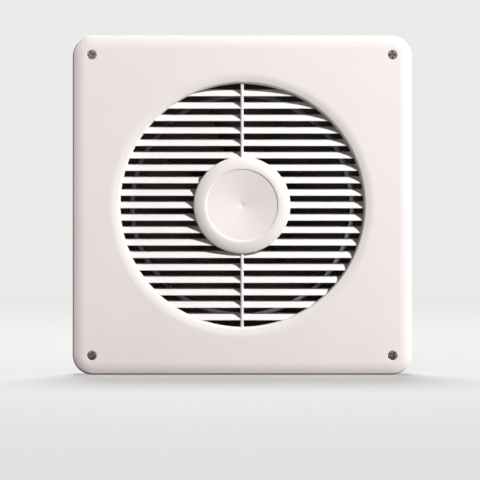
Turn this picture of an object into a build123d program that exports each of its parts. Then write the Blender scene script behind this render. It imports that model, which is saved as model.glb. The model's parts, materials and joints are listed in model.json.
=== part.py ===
"""Subfloor ventilation fan for a single-leaf brick wall, in millimetres.

The fan's axis is Y. The wall's outer face is the plane Y = 0. The louvred front faces -Y,
the tube lines the hole in the wall towards +Y, and Z is up. The origin is where the fan's
axis meets the wall's outer face.
"""
import os
from math import asin, cos, degrees, radians, sin, sqrt, tan

from build123d import *

# Front cover: a square moulded pan with a crowned edge and a lipped round opening
cover_side = 290.0
cover_corner_r = 17.0
cover_depth = 24.0
cover_wall = 2.6
cover_rim_gap = 1.0
crown_width = 9.7
crown_turn = 19.0
cover_edge_r = 2.2
opening_r = 104.5
lip_width = 6.5
lip_slope = 11.0
lip_blend_r = 22.0
lip_round_r = 2.2
lip_land = 0.9
pillar_r = 5.0
rib_wall = 1.8
rib_height = 8.0

# Wall screws: countersunk, flush in the front cover, through the pillars into the wall
screw_inset = 16.5
screw_shank_r = 1.9
screw_thread_r = 2.1
screw_thread_start = 0.5
screw_head_r = 4.1
screw_head_sink = 0.25
screw_hole_r = 2.5
screw_length = 50.0
screw_point = 5.0

# Louvre grille: fixed sloping blades of a curved section between a rim ring and a centre ring
blade_count = 19
blade_margin = 8.6
blade_rise = 5.64
blade_depth = 7.0
blade_nose = 0.8
blade_back = 1.8
blade_camber = 0.6
mullion_wall = 2.8
mullion_nose_r = 1.0
grille_fit = 0.3
grille_ring_wall = 5.6
grille_ring_tail = 3.8663926
centre_ring_wall = 2.8
ear_r = 5.0
ear_reach = 6.0
ear_thickness = 3.0
ear_drop = 2.4
small_screw_r = 1.75
small_head_r = 3.4
small_head_height = 2.2
small_screw_bite = 4.0

# Hub cap: a crowned ring round a shallow conical disc, pressed into the centre ring
hub_r = 41.4
hub_recess_r = 30.3
hub_crown_turn = 21.0
hub_edge_r = 1.0
hub_land = 0.4
hub_step = 0.9
hub_step_width = 1.6
hub_dish = 1.75
hub_wall = 2.2
hub_overhang = 0.4
hub_spigot_wall = 2.2
hub_spigot_length = 5.0
hub_spigot_fit = 0.15

# Base plate and wall tube: the tube's flange is screwed to the front of the square plate
gasket_thickness = 2.0
gasket_width = 17.0
base_thickness = 3.0
base_fit = 1.4
base_rim_wall = 2.0
base_rim_height = 5.0
gasket_inset = 2.0
tube_r = 99.5
tube_wall = 2.5
tube_end = 114.0
tube_chamfer = 1.0
tube_root_step = 1.5
tube_fit = 0.3
flange_width = 15.5
flange_thickness = 2.0
flange_screw_count = 8
flange_screw_inset = 4.5
flange_screw_r = 1.5
flange_head_r = 2.8
flange_head_height = 1.7
rib_gap = 1.0
bell_r = 6.0
collar_wall = 2.5
collar_gap = 0.5
lug_r = 5.5
lug_inset = 7.0
lug_length = 10.0

# Impeller: a cup-shaped hub with twisted blades, on the motor's shaft
impeller_front = 5.0
impeller_length = 28.0
impeller_hub_r = 30.0
impeller_hub_wall = 3.2
impeller_hub_edge_r = 5.0
impeller_face = 3.0
impeller_boss_r = 9.0
impeller_boss_length = 16.0
tip_clearance = 3.0
vane_count = 9
vane_axial = 24.0
vane_root_sweep = 22.0
vane_root_sink = 0.3
vane_tip_sweep = 72.0
vane_camber = 0.09
vane_thickness = 2.6
vane_edge = 1.2

# Pan-head screws: the flat on top and the height of the shoulder, as parts of the head
head_flat = 0.6
head_shoulder = 0.45

# Shaft, its fits and its fasteners
shaft_r = 4.0
shaft_stub_r = 3.0
running_gap = 0.05
thread_gap = 0.05
shaft_front_proud = 1.5
drive_pin_r = 1.0
drive_pin_length = 15.0
drive_slot_gap = 0.15
nut_r = 5.5
nut_height = 5.0
washer_r = 7.0
washer_thickness = 1.2

# Motor: two end shields on an open stack of laminations, held by long studs
motor_gap = 2.5
motor_r = 45.0
shield_depth = 14.0
shield_wall = 2.5
shield_shoulder_r = 31.0
shield_shoulder_drop = 4.0
shield_edge_r = 2.0
vent_count = 6
vent_circle_r = 21.0
vent_width = 4.0
vent_half_angle = 16.0
stack_length = 18.0
stator_bore_r = 22.0
air_gap = 0.5
winding_inner_r = 24.0
winding_outer_r = 31.5
winding_overhang = 7.0
winding_round_r = 2.5
end_ring_length = 3.0
end_ring_r = 19.0
bush_r = 7.0
front_bush_length = 12.0
rear_bush_length = 7.0
bearing_boss_r = 11.0
front_boss_length = 6.0
end_play = 0.3
collar_r = 6.5
stud_circle_r = 38.0
stud_r = 2.0
stud_hole_r = 2.2
stud_head_r = 3.8
stud_head_height = 3.0
stud_tail = 2.0
small_nut_r = 4.0
small_nut_height = 3.2
stud_washer_r = 4.5
stud_washer_thickness = 0.8
stud_boss_r = 5.5

# Rubber mounts and the pressed bracket that carries the motor
mount_r = 7.0
mount_front_flange = 3.0
mount_rear_flange = 2.5
mount_neck_r = 4.4
mount_neck_fit = 0.1
bracket_thickness = 2.0
bracket_disc_r = 48.0
bracket_fit = 1.0
arm_width = 14.0
arm_root_r = 6.0
arm_flange_wall = 1.6
arm_flange_height = 6.0
arm_flange_start = 52.0
arm_flange_end = 80.0
window_circle_r = 37.0
window_width = 11.0
window_half_angle = 20.0
bracket_screw_r = 2.0
bracket_head_r = 3.8
bracket_head_height = 2.6
bracket_screw_bite = 7.0
bracket_hole_gap = 0.1

# Terminal box behind the bracket, with its lid, block, fixings and cable gland
box_width = 60.0
box_height = 34.0
box_depth = 22.0
box_wall = 2.0
box_corner_r = 3.0
lid_thickness = 2.4
lid_spigot = 1.6
lid_fit = 0.2
lid_post_r = 2.8
lid_post_inset = 3.0
lid_screw_r = 1.3
lid_head_r = 2.6
lid_head_height = 1.8
lid_screw_bite = 8.0
box_screw_x = 24.2
box_screw_r = 1.6
box_head_r = 2.8
block_width = 18.0
block_height = 12.0
block_depth = 12.0
block_x = 11.0
block_z = -2.0
block_ways = 3
block_entry_r = 1.6
lead_r = 2.0
lead_x = -13.0
lead_z = 9.0
lead_bend_r = 4.5
lead_tail = 3.0
grommet_wall = 1.2
grommet_flange = 1.0
grommet_flange_r = 4.4
gland_x = -12.0
gland_thread_r = 6.0
gland_bore_r = 4.2
gland_flats = 16.0
gland_hex_height = 6.0
gland_nut_grip = 9.0
gland_dome_height = 6.0
gland_seat_gap = 1.0
gland_mouth_r = 4.0
gland_locknut_height = 4.0
seal_length = 9.0
seal_bore_r = 3.2
gland_thread_spare = 1.5
gland_fit = 0.1

# Levels along Y, each from the ones before it, front to back
cover_rim = -cover_rim_gap
cover_front = cover_rim - cover_depth
cover_back = cover_front + cover_wall
lip_corner = cover_front + lip_width * tan(radians(lip_slope))
lip_edge = lip_corner + lip_round_r * tan(radians((90 - lip_slope) / 2))
lip_back = lip_edge + lip_land
ear_seat = lip_back + ear_drop
ear_back = ear_seat + ear_thickness
blade_front = lip_edge
blade_end = blade_front + blade_depth
blade_middle = blade_front + blade_depth / 2
grille_back = blade_end + grille_ring_tail
base_back = -gasket_thickness
base_front = base_back - base_thickness
flange_front = base_front - flange_thickness
impeller_back = impeller_front + impeller_length
boss_back = impeller_front + impeller_boss_length
shield_front = impeller_back + motor_gap
stack_front = shield_front + shield_depth
stack_back = stack_front + stack_length
shield_back = stack_back + shield_depth
bracket_front = shield_back + mount_front_flange
bracket_back = bracket_front + bracket_thickness
box_floor = bracket_back + box_wall
box_open = bracket_back + box_depth
box_middle = bracket_back + (box_depth + lid_thickness) / 2
front_bush_front = shield_front - front_boss_length
front_bush_back = front_bush_front + front_bush_length
rear_bush_back = shield_back - shield_wall
rear_bush_front = rear_bush_back - rear_bush_length
shaft_front = impeller_front - washer_thickness - nut_height - shaft_front_proud
shaft_rear = rear_bush_back - end_play
stud_seat = shield_front + shield_shoulder_drop
mount_back = bracket_back + mount_rear_flange
stud_tip = mount_back + stud_washer_thickness + small_nut_height + stud_tail
collar_front = grille_back + collar_gap
vane_middle = impeller_front + impeller_length / 2
lead_start = shield_back - shield_wall - lead_tail

# Sizes that follow from the driving ones
lip_outer_r = opening_r + lip_width
screw_spacing = cover_side - 2 * screw_inset
blade_pitch = 2 * (opening_r - blade_margin) / (blade_count - 1)
half_cover = cover_side / 2
crown_r = (crown_width - cover_edge_r * (1 - sin(radians(crown_turn)))) / sin(radians(crown_turn))
crown_drop = crown_r * (1 - cos(radians(crown_turn)))
base_inset = cover_wall + base_fit
base_side = cover_side - 2 * base_inset
base_corner_r = cover_corner_r - base_inset
gasket_outer = base_side - 2 * gasket_inset
hollow_side = cover_side - 2 * cover_wall
hollow_flat = cover_side - 2 * crown_width
pillar_x = screw_spacing / 2
rib_run = half_cover - cover_wall / 2 - pillar_x
ring_r = opening_r + grille_ring_wall
centre_ring_r = hub_r - hub_overhang
spigot_r = centre_ring_r - centre_ring_wall - hub_spigot_fit
hub_ring_flat_r = hub_recess_r + hub_step_width
hub_crown_run = hub_r - hub_ring_flat_r - hub_edge_r * (1 - sin(radians(hub_crown_turn)))
hub_crown_r = hub_crown_run / sin(radians(hub_crown_turn))
hub_crown_drop = hub_crown_r * (1 - cos(radians(hub_crown_turn)))
hub_front = blade_front - hub_land - hub_edge_r * cos(radians(hub_crown_turn)) - hub_crown_drop
hub_disc_rim = hub_front + hub_step
ear_circle_r = ring_r + ear_reach
ear_root = ear_reach + grille_ring_wall
tube_bore_r = tube_r - tube_wall
bell_mouth_r = tube_bore_r + bell_r
flange_r = tube_r + flange_width
flange_screw_circle_r = flange_r - flange_screw_inset
rib_start_r = flange_r + rib_gap
corner_rib_end_r = screw_spacing / 2 * sqrt(2) - pillar_r - rib_wall
flange_screw_turn = 180 / flange_screw_count
tip_r = tube_bore_r - tip_clearance
vane_root_level = impeller_hub_r - impeller_hub_wall + vane_root_sink
lug_circle_r = tube_bore_r - lug_inset
rotor_r = stator_bore_r - air_gap
shaft_bore_r = shaft_r + running_gap
box_inner_width = box_width - 2 * box_wall
box_inner_height = box_height - 2 * box_wall
lid_inner_width = box_inner_width - 2 * lid_fit
lid_inner_height = box_inner_height - 2 * lid_fit
post_x = box_inner_width / 2 - lid_post_inset
post_z = box_inner_height / 2 - lid_post_inset
block_top = block_z + block_height / 2
gland_hex_r = gland_flats / sqrt(3)
gland_inside = box_wall + gland_locknut_height + gland_thread_spare
diagonals = 45.0
past = 1.0


def across(y):
    """Plane square to the fan's axis at depth y, seen from the front, with X right and Z up."""
    return Plane.XZ.offset(-y)


def finish(piece, name):
    """Name a finished piece and write it under that name."""
    piece.part.label = name
    export_step(piece.part, f"parts/{name}.step")
    print(f"{name}: {len(piece.part.solids())} solid(s), {piece.part.volume:.0f} mm3")


def behind(y):
    """The same plane seen from behind: its normal points to +Y, so X runs to the left."""
    return Plane(origin=(0, y, 0), x_dir=(-1, 0, 0), z_dir=(0, 1, 0))


def turned(outline, label):
    """Solid turned about its own Z axis from half an outline of (radius, height) points."""
    with BuildPart() as piece:
        with BuildSketch(Plane.XZ):
            Polygon(*outline, align=None)
        revolve(axis=Axis.Z)
    piece.part.label = label
    return piece.part


def screw(shank_r, length, head_r, head_height):
    """Pan-head screw standing on the plane Z = 0, with its point down."""
    return turned(
        [
            (0, head_height),
            (head_r * head_flat, head_height),
            (head_r, head_height * head_shoulder),
            (head_r, 0),
            (shank_r, 0),
            (shank_r, shank_r - length),
            (0, -length),
        ],
        "screw",
    )


def hexagon(corner_r, height, bore_r=0):
    """Hexagon that stands on the plane Z = 0: a nut if it has a bore, or else a screw's head."""
    with BuildPart() as piece:
        with BuildSketch():
            RegularPolygon(corner_r, 6)
            if bore_r:
                Circle(bore_r, mode=Mode.SUBTRACT)
        extrude(amount=height)
    return piece.part


def washer(outer_r, bore_r, thickness):
    """Flat ring that stands on the plane Z = 0."""
    with BuildPart() as ring:
        with BuildSketch():
            Circle(outer_r)
            Circle(bore_r, mode=Mode.SUBTRACT)
        extrude(amount=thickness)
    return ring.part


def half_outline(side):
    """Upper (1) or lower (-1) half of the cover's outline, from the middle of its right side."""
    with BuildLine(across(cover_front)) as outline:
        FilletPolyline(
            (half_cover, 0),
            (half_cover, side * half_cover),
            (-half_cover, side * half_cover),
            (-half_cover, 0),
            radius=cover_corner_r,
        )
    return outline.wires()[0]


os.makedirs("parts", exist_ok=True)


# Front cover
with BuildSketch(Plane.XY) as crown_section:
    with BuildLine():
        crown_start = (half_cover - crown_width, cover_front)
        crown = JernArc(crown_start, (1, 0), crown_r, crown_turn)
        edge = JernArc(crown @ 1, crown % 1, cover_edge_r, 90 - crown_turn)
        Polyline(
            edge @ 1,
            (half_cover + past, (edge @ 1).Y),
            (half_cover + past, cover_front - past),
            (half_cover - crown_width, cover_front - past),
            crown_start,
        )
    make_face()

with BuildPart(across(cover_front)) as front_cover:
    with BuildSketch(across(cover_rim)):
        RectangleRounded(cover_side, cover_side, cover_corner_r)
    extrude(amount=cover_depth)
    # the crown is what is left when its section has gone once round the outline
    for side in (1, -1):
        sweep(crown_section.sketch, path=half_outline(side), mode=Mode.SUBTRACT)
    # hollow of even wall: straight sides, then a slope under the crown
    with BuildSketch(across(cover_rim)):
        RectangleRounded(hollow_side, hollow_side, cover_corner_r - cover_wall)
    extrude(amount=cover_rim - cover_back - crown_drop, mode=Mode.SUBTRACT)
    with BuildSketch(across(cover_back + crown_drop)):
        RectangleRounded(hollow_side, hollow_side, cover_corner_r - cover_wall)
    with BuildSketch(across(cover_back)):
        RectangleRounded(hollow_flat, hollow_flat, cover_corner_r - crown_width)
    loft(ruled=True, mode=Mode.SUBTRACT)
    # round opening, then the lip that dips into it
    with BuildSketch(across(cover_back + past)):
        Circle(lip_outer_r + lip_blend_r / 2)
    extrude(amount=cover_wall + 2 * past, mode=Mode.SUBTRACT)
    with BuildSketch(Plane.XY) as lip:
        Polygon(
            (lip_outer_r + lip_blend_r, cover_front),
            (lip_outer_r, cover_front),
            (opening_r, lip_corner),
            (opening_r, lip_back),
            (opening_r + cover_wall, lip_back),
            (lip_outer_r, cover_back),
            (lip_outer_r + lip_blend_r, cover_back),
            align=None,
        )
        fillet(lip.vertices().sort_by_distance((lip_outer_r, cover_front))[0], lip_blend_r)
        fillet(lip.vertices().sort_by_distance((opening_r, lip_corner))[0], lip_round_r)
    revolve(axis=Axis.Y)
    # pillars for the wall screws, each tied to the side walls by two ribs
    with BuildSketch(across(base_front)):
        with GridLocations(screw_spacing, screw_spacing, 2, 2):
            Circle(pillar_r)
    extrude(amount=base_front - cover_back)
    with BuildSketch(across(cover_back + crown_drop + rib_height)):
        for side_x in (-1, 1):
            for side_z in (-1, 1):
                with Locations((side_x * (pillar_x + rib_run / 2), side_z * pillar_x)):
                    Rectangle(rib_run, rib_wall)
                with Locations((side_x * pillar_x, side_z * (pillar_x + rib_run / 2))):
                    Rectangle(rib_wall, rib_run)
    extrude(amount=rib_height + crown_drop)
    with GridLocations(screw_spacing, screw_spacing, 2, 2):
        CounterSinkHole(
            screw_hole_r,
            screw_head_r + screw_head_sink,
            depth=cover_depth,
            counter_sink_angle=90,
        )
    # bosses that the grille's ears are screwed to
    with BuildSketch(across(ear_seat)):
        with PolarLocations(ear_circle_r, 4, diagonals):
            Circle(ear_r)
    extrude(amount=ear_seat - cover_back)
    with BuildSketch(across(ear_seat)):
        with PolarLocations(ear_circle_r, 4, diagonals):
            Circle(small_screw_r + thread_gap)
    extrude(amount=small_screw_bite + past / 2, mode=Mode.SUBTRACT)
finish(front_cover, "front_cover")


# Wall screws
head_cone = screw_head_r - screw_shank_r
thread_depth = screw_thread_start - cover_front - screw_head_sink
wall_screw = turned(
    [
        (0, 0),
        (screw_head_r, 0),
        (screw_shank_r, -head_cone),
        (screw_shank_r, -thread_depth),
        (screw_thread_r, -thread_depth),
        (screw_thread_r, screw_point - screw_length),
        (0, -screw_length),
    ],
    "wall_screw",
)
with BuildPart(across(cover_front + screw_head_sink)) as wall_screws:
    with GridLocations(screw_spacing, screw_spacing, 2, 2):
        add(wall_screw)
finish(wall_screws, "wall_screws")


# Louvre grille
with BuildSketch() as blade_section:
    bulge = Vector(-blade_rise, blade_depth).normalized() * blade_camber
    with BuildLine():
        ThreePointArc(
            (blade_front, -blade_rise / 2),
            Vector(blade_middle, -blade_back / 2) + bulge,
            (blade_end, blade_rise / 2 - blade_back),
        )
        Line((blade_end, blade_rise / 2 - blade_back), (blade_end, blade_rise / 2))
        ThreePointArc(
            (blade_end, blade_rise / 2),
            Vector(blade_middle, blade_nose / 2) + bulge,
            (blade_front, blade_nose - blade_rise / 2),
        )
        Line((blade_front, blade_nose - blade_rise / 2), (blade_front, -blade_rise / 2))
    make_face()

with BuildPart() as louvre_grille:
    with BuildSketch(Plane.YZ):
        with GridLocations(blade_pitch, blade_pitch, 1, blade_count):
            add(blade_section.sketch)
    extrude(amount=ring_r, both=True)
    with BuildSketch(Plane.XY) as mullion:
        with Locations((0, blade_middle)):
            Rectangle(mullion_wall, blade_depth)
        fillet(mullion.vertices().group_by(Axis.Y)[0], mullion_nose_r)
    extrude(amount=ring_r, both=True)
    # keep what lies between the two rings, and let the front part clear the cover's lip
    with BuildSketch(across(blade_end)):
        Circle(opening_r + grille_ring_wall / 2)
        Circle(centre_ring_r - centre_ring_wall / 2, mode=Mode.SUBTRACT)
    extrude(amount=blade_depth, mode=Mode.INTERSECT)
    with BuildSketch(across(lip_back)):
        Circle(ring_r)
        Circle(opening_r - grille_fit, mode=Mode.SUBTRACT)
    extrude(amount=lip_back - blade_front, mode=Mode.SUBTRACT)
    # rim ring behind the lip, with four ears
    with BuildSketch(across(grille_back)):
        Circle(ring_r)
        Circle(opening_r - grille_fit, mode=Mode.SUBTRACT)
    extrude(amount=grille_back - lip_back)
    with BuildSketch(across(ear_back)):
        with PolarLocations(ear_circle_r, 4, diagonals):
            Circle(ear_r)
        with PolarLocations(ear_circle_r - ear_root / 2, 4, diagonals):
            Rectangle(ear_root, 2 * ear_r)
        with PolarLocations(ear_circle_r, 4, diagonals):
            Circle(small_screw_r + grille_fit / 2, mode=Mode.SUBTRACT)
        Circle(ring_r - grille_ring_wall / 2, mode=Mode.SUBTRACT)
    extrude(amount=ear_thickness)
    with BuildSketch(across(blade_end)):
        Circle(centre_ring_r)
        Circle(centre_ring_r - centre_ring_wall, mode=Mode.SUBTRACT)
    extrude(amount=blade_depth)
finish(louvre_grille, "louvre_grille")


# Grille screws
grille_screw = screw(
    small_screw_r, small_screw_bite + ear_thickness, small_head_r, small_head_height
)
with BuildPart(behind(ear_back)) as grille_screws:
    with PolarLocations(ear_circle_r, 4, diagonals):
        add(grille_screw)
finish(grille_screws, "grille_screws")


# Hub cap
with BuildPart() as hub_cap:
    with BuildSketch(Plane.XY):
        with BuildLine():
            ring_top = JernArc((hub_ring_flat_r, hub_front), (1, 0), hub_crown_r, hub_crown_turn)
            ring_edge = JernArc(ring_top @ 1, ring_top % 1, hub_edge_r, 90 - hub_crown_turn)
            Polyline(
                ring_edge @ 1,
                (hub_r, blade_front),
                (spigot_r, blade_front),
                (spigot_r, blade_front + hub_spigot_length),
                (spigot_r - hub_spigot_wall, blade_front + hub_spigot_length),
                (spigot_r - hub_spigot_wall, hub_disc_rim + hub_wall),
                (0, hub_disc_rim + hub_dish + hub_wall),
                (0, hub_disc_rim + hub_dish),
                (hub_recess_r, hub_disc_rim),
                (hub_ring_flat_r, hub_front),
            )
        make_face()
    revolve(axis=Axis.Y)
finish(hub_cap, "hub_cap")


# Wall gasket
with BuildPart() as wall_gasket:
    with BuildSketch(across(0)):
        RectangleRounded(gasket_outer, gasket_outer, base_corner_r - gasket_inset)
        RectangleRounded(
            gasket_outer - 2 * gasket_width,
            gasket_outer - 2 * gasket_width,
            base_corner_r - gasket_inset,
            mode=Mode.SUBTRACT,
        )
        with GridLocations(screw_spacing, screw_spacing, 2, 2):
            Circle(screw_hole_r, mode=Mode.SUBTRACT)
    extrude(amount=gasket_thickness)
finish(wall_gasket, "wall_gasket")


# Base plate
with BuildPart() as base_plate:
    with BuildSketch(across(base_back)):
        RectangleRounded(base_side, base_side, base_corner_r)
    extrude(amount=base_thickness)
    with BuildSketch(across(base_front)):
        RectangleRounded(base_side, base_side, base_corner_r)
        RectangleRounded(
            base_side - 2 * base_rim_wall,
            base_side - 2 * base_rim_wall,
            base_corner_r - base_rim_wall,
            mode=Mode.SUBTRACT,
        )
        # ribs from the tube's flange towards the rim and the corners
        with PolarLocations((rib_start_r + base_side / 2) / 2, 4):
            Rectangle(base_side / 2 - rib_start_r, rib_wall)
        with PolarLocations((rib_start_r + corner_rib_end_r) / 2, 4, diagonals):
            Rectangle(corner_rib_end_r - rib_start_r, rib_wall)
    extrude(amount=base_rim_height)
    with BuildSketch(across(base_back)):
        Circle(tube_r + tube_root_step + tube_fit)
        with GridLocations(screw_spacing, screw_spacing, 2, 2):
            Circle(screw_hole_r)
        with PolarLocations(flange_screw_circle_r, flange_screw_count, flange_screw_turn):
            Circle(flange_screw_r + thread_gap)
    extrude(amount=base_thickness, mode=Mode.SUBTRACT)
finish(base_plate, "base_plate")


# Wall tube
with BuildPart() as wall_tube:
    with BuildSketch(Plane.XY):
        with BuildLine():
            bell = JernArc((tube_bore_r, flange_front + bell_r), (0, -1), bell_r, 90)
            Polyline(
                bell @ 1,
                (bell_mouth_r, collar_front),
                (bell_mouth_r + collar_wall, collar_front),
                (bell_mouth_r + collar_wall, flange_front),
                (flange_r, flange_front),
                (flange_r, base_front),
                (tube_r + tube_root_step, base_front),
                (tube_r + tube_root_step, 0),
                (tube_r, 0),
                (tube_r, tube_end - tube_chamfer),
                (tube_r - tube_chamfer, tube_end),
                (tube_bore_r, tube_end),
                bell @ 0,
            )
        make_face()
    revolve(axis=Axis.Y)
    with BuildSketch(across(base_front)):
        with PolarLocations(flange_screw_circle_r, flange_screw_count, flange_screw_turn):
            Circle(flange_screw_r + tube_fit)
    extrude(amount=flange_thickness, mode=Mode.SUBTRACT)
    # lugs that the motor's bracket is screwed to
    with BuildSketch(across(bracket_front)):
        with PolarLocations(lug_circle_r, 4, diagonals):
            Circle(lug_r)
        with PolarLocations(lug_circle_r + (lug_inset + tube_wall / 2) / 2, 4, diagonals):
            Rectangle(lug_inset + tube_wall / 2, 2 * lug_r)
        with PolarLocations(lug_circle_r, 4, diagonals):
            Circle(bracket_screw_r + thread_gap, mode=Mode.SUBTRACT)
    extrude(amount=lug_length)
finish(wall_tube, "wall_tube")

flange_screw = screw(
    flange_screw_r, flange_thickness + base_thickness, flange_head_r, flange_head_height
)
with BuildPart(across(flange_front)) as flange_screws:
    with PolarLocations(flange_screw_circle_r, flange_screw_count, flange_screw_turn):
        add(flange_screw)
finish(flange_screws, "flange_screws")


# Impeller
def vane_section(level, sweep_width):
    """Cambered section of a blade on a level plane above the axis, with blunt edges."""
    half = Vector(sweep_width / 2, -vane_axial / 2)
    back = Vector(vane_axial, sweep_width).normalized()
    crest = back * (vane_camber * 2 * half.length)
    thick = back * (vane_thickness / 2)
    thin = back * (vane_edge / 2)
    with BuildSketch(Plane.XY.offset(level).shift_origin((0, vane_middle, level))) as section:
        with BuildLine():
            ThreePointArc(thin - half, crest + thick, half + thin)
            Line(half + thin, half - thin)
            ThreePointArc(half - thin, crest - thick, -thin - half)
            Line(-thin - half, thin - half)
        make_face()
    return section.sketch


with BuildPart() as vane:
    loft([vane_section(vane_root_level, vane_root_sweep), vane_section(tip_r + past, vane_tip_sweep)])

with BuildPart() as impeller:
    for turn in range(vane_count):
        add(vane.part.rotate(Axis.Y, turn * 360 / vane_count))
    with BuildSketch(across(impeller_back)):
        Circle(tip_r)
    extrude(amount=impeller_length, mode=Mode.INTERSECT)
    with BuildSketch(Plane.XY) as cup:
        Polygon(
            (shaft_bore_r, impeller_front),
            (impeller_hub_r, impeller_front),
            (impeller_hub_r, impeller_back),
            (impeller_hub_r - impeller_hub_wall, impeller_back),
            (impeller_hub_r - impeller_hub_wall, impeller_front + impeller_face),
            (impeller_boss_r, impeller_front + impeller_face),
            (impeller_boss_r, boss_back),
            (shaft_bore_r, boss_back),
            align=None,
        )
        fillet(cup.vertices().sort_by_distance((impeller_hub_r, impeller_front))[0], impeller_hub_edge_r)
    revolve(axis=Axis.Y)
    with BuildSketch(across(boss_back)):
        Rectangle(2 * impeller_boss_r, 2 * (drive_pin_r + drive_slot_gap))
    extrude(amount=2 * drive_pin_r + drive_slot_gap, mode=Mode.SUBTRACT)
finish(impeller, "impeller")


# Shaft and what is on it
with BuildPart() as motor_shaft:
    with BuildSketch(Plane.XY):
        Polygon(
            (0, shaft_front),
            (shaft_stub_r, shaft_front),
            (shaft_stub_r, impeller_front + drive_slot_gap),
            (shaft_r, impeller_front + drive_slot_gap),
            (shaft_r, shaft_rear),
            (0, shaft_rear),
            align=None,
        )
    revolve(axis=Axis.Y)
    with BuildSketch(Plane.YZ):
        with Locations((boss_back - drive_pin_r, 0)):
            Circle(drive_pin_r)
    extrude(amount=shaft_r, both=True, mode=Mode.SUBTRACT)
finish(motor_shaft, "motor_shaft")

with BuildPart() as drive_pin:
    with BuildSketch(Plane.YZ):
        with Locations((boss_back - drive_pin_r, 0)):
            Circle(drive_pin_r)
    extrude(amount=drive_pin_length / 2, both=True)
finish(drive_pin, "drive_pin")

with BuildPart(across(impeller_front)) as impeller_washer:
    add(washer(washer_r, shaft_stub_r, washer_thickness))
finish(impeller_washer, "impeller_washer")

with BuildPart(across(impeller_front - washer_thickness)) as impeller_nut:
    add(hexagon(nut_r, nut_height, shaft_stub_r))
finish(impeller_nut, "impeller_nut")

with BuildPart() as rotor_core:
    with BuildSketch(across(stack_back)):
        Circle(rotor_r)
        Circle(shaft_r, mode=Mode.SUBTRACT)
    extrude(amount=stack_length)
    with BuildSketch(across(stack_back + end_ring_length)):
        Circle(end_ring_r)
        Circle(shaft_r, mode=Mode.SUBTRACT)
    extrude(amount=stack_length + 2 * end_ring_length)
finish(rotor_core, "rotor_core")

with BuildPart() as thrust_collars:
    for front, back in (
        (front_bush_back + end_play, stack_front - end_ring_length),
        (stack_back + end_ring_length, rear_bush_front - end_play),
    ):
        with BuildSketch(across(back)):
            Circle(collar_r)
            Circle(shaft_r, mode=Mode.SUBTRACT)
        extrude(amount=back - front)
finish(thrust_collars, "thrust_collars")


# Motor
def bush(front, back):
    """Sintered plain bearing between two levels."""
    with BuildPart() as piece:
        with BuildSketch(across(back)):
            Circle(bush_r)
            Circle(shaft_bore_r, mode=Mode.SUBTRACT)
        extrude(amount=back - front)
    return piece


with BuildSketch() as stud_hole_plan:
    with PolarLocations(stud_circle_r, 4, diagonals):
        Circle(stud_hole_r)

# cooling slots in the flat of each end shield
with BuildSketch() as vent_plan:
    with PolarLocations(0, vent_count):
        vent_line = CenterArc(
            (0, 0), vent_circle_r, -vent_half_angle, 2 * vent_half_angle, mode=Mode.PRIVATE
        )
        SlotArc(vent_line, vent_width)

finish(bush(front_bush_front, front_bush_back), "front_bush")
finish(bush(rear_bush_front, rear_bush_back), "rear_bush")

with BuildPart() as front_shield:
    with BuildSketch(Plane.XY) as front_half:
        Polygon(
            (bush_r, front_bush_front),
            (bearing_boss_r, front_bush_front),
            (bearing_boss_r, shield_front),
            (shield_shoulder_r, shield_front),
            (shield_shoulder_r + shield_wall, shield_front + shield_shoulder_drop),
            (motor_r, shield_front + shield_shoulder_drop),
            (motor_r, stack_front),
            (motor_r - shield_wall, stack_front),
            (motor_r - shield_wall, shield_front + shield_shoulder_drop + shield_wall),
            (shield_shoulder_r, shield_front + shield_shoulder_drop + shield_wall),
            (shield_shoulder_r - shield_wall, shield_front + shield_wall),
            (bearing_boss_r, shield_front + shield_wall),
            (bearing_boss_r, front_bush_back),
            (bush_r, front_bush_back),
            align=None,
        )
        corner = (motor_r, shield_front + shield_shoulder_drop)
        fillet(front_half.vertices().sort_by_distance(corner)[0], shield_edge_r)
    revolve(axis=Axis.Y)
    with BuildSketch(across(stack_front)):
        with PolarLocations(stud_circle_r, 4, diagonals):
            Circle(stud_boss_r)
    extrude(amount=shield_depth - shield_shoulder_drop - shield_edge_r)
    with BuildSketch(across(stack_front)):
        add(stud_hole_plan.sketch)
        add(vent_plan.sketch)
    extrude(amount=shield_depth, mode=Mode.SUBTRACT)
finish(front_shield, "front_shield")

with BuildPart() as rear_shield:
    with BuildSketch(Plane.XY) as rear_half:
        Polygon(
            (0, shield_back),
            (shield_shoulder_r, shield_back),
            (shield_shoulder_r + shield_wall, shield_back - shield_shoulder_drop),
            (motor_r, shield_back - shield_shoulder_drop),
            (motor_r, stack_back),
            (motor_r - shield_wall, stack_back),
            (motor_r - shield_wall, shield_back - shield_shoulder_drop - shield_wall),
            (shield_shoulder_r, shield_back - shield_shoulder_drop - shield_wall),
            (shield_shoulder_r - shield_wall, shield_back - shield_wall),
            (bearing_boss_r, shield_back - shield_wall),
            (bearing_boss_r, rear_bush_front),
            (bush_r, rear_bush_front),
            (bush_r, rear_bush_back),
            (0, rear_bush_back),
            align=None,
        )
        corner = (motor_r, shield_back - shield_shoulder_drop)
        fillet(rear_half.vertices().sort_by_distance(corner)[0], shield_edge_r)
    revolve(axis=Axis.Y)
    with BuildSketch(across(shield_back)):
        with PolarLocations(stud_circle_r, 4, diagonals):
            Circle(stud_boss_r)
    extrude(amount=shield_depth)
    with BuildSketch(across(shield_back)):
        add(stud_hole_plan.sketch)
    extrude(amount=shield_depth, mode=Mode.SUBTRACT)
    with BuildSketch(across(shield_back)):
        with Locations((lead_x, lead_z)):
            Circle(lead_r + grommet_wall)
    extrude(amount=shield_wall, mode=Mode.SUBTRACT)
finish(rear_shield, "rear_shield")

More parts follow.
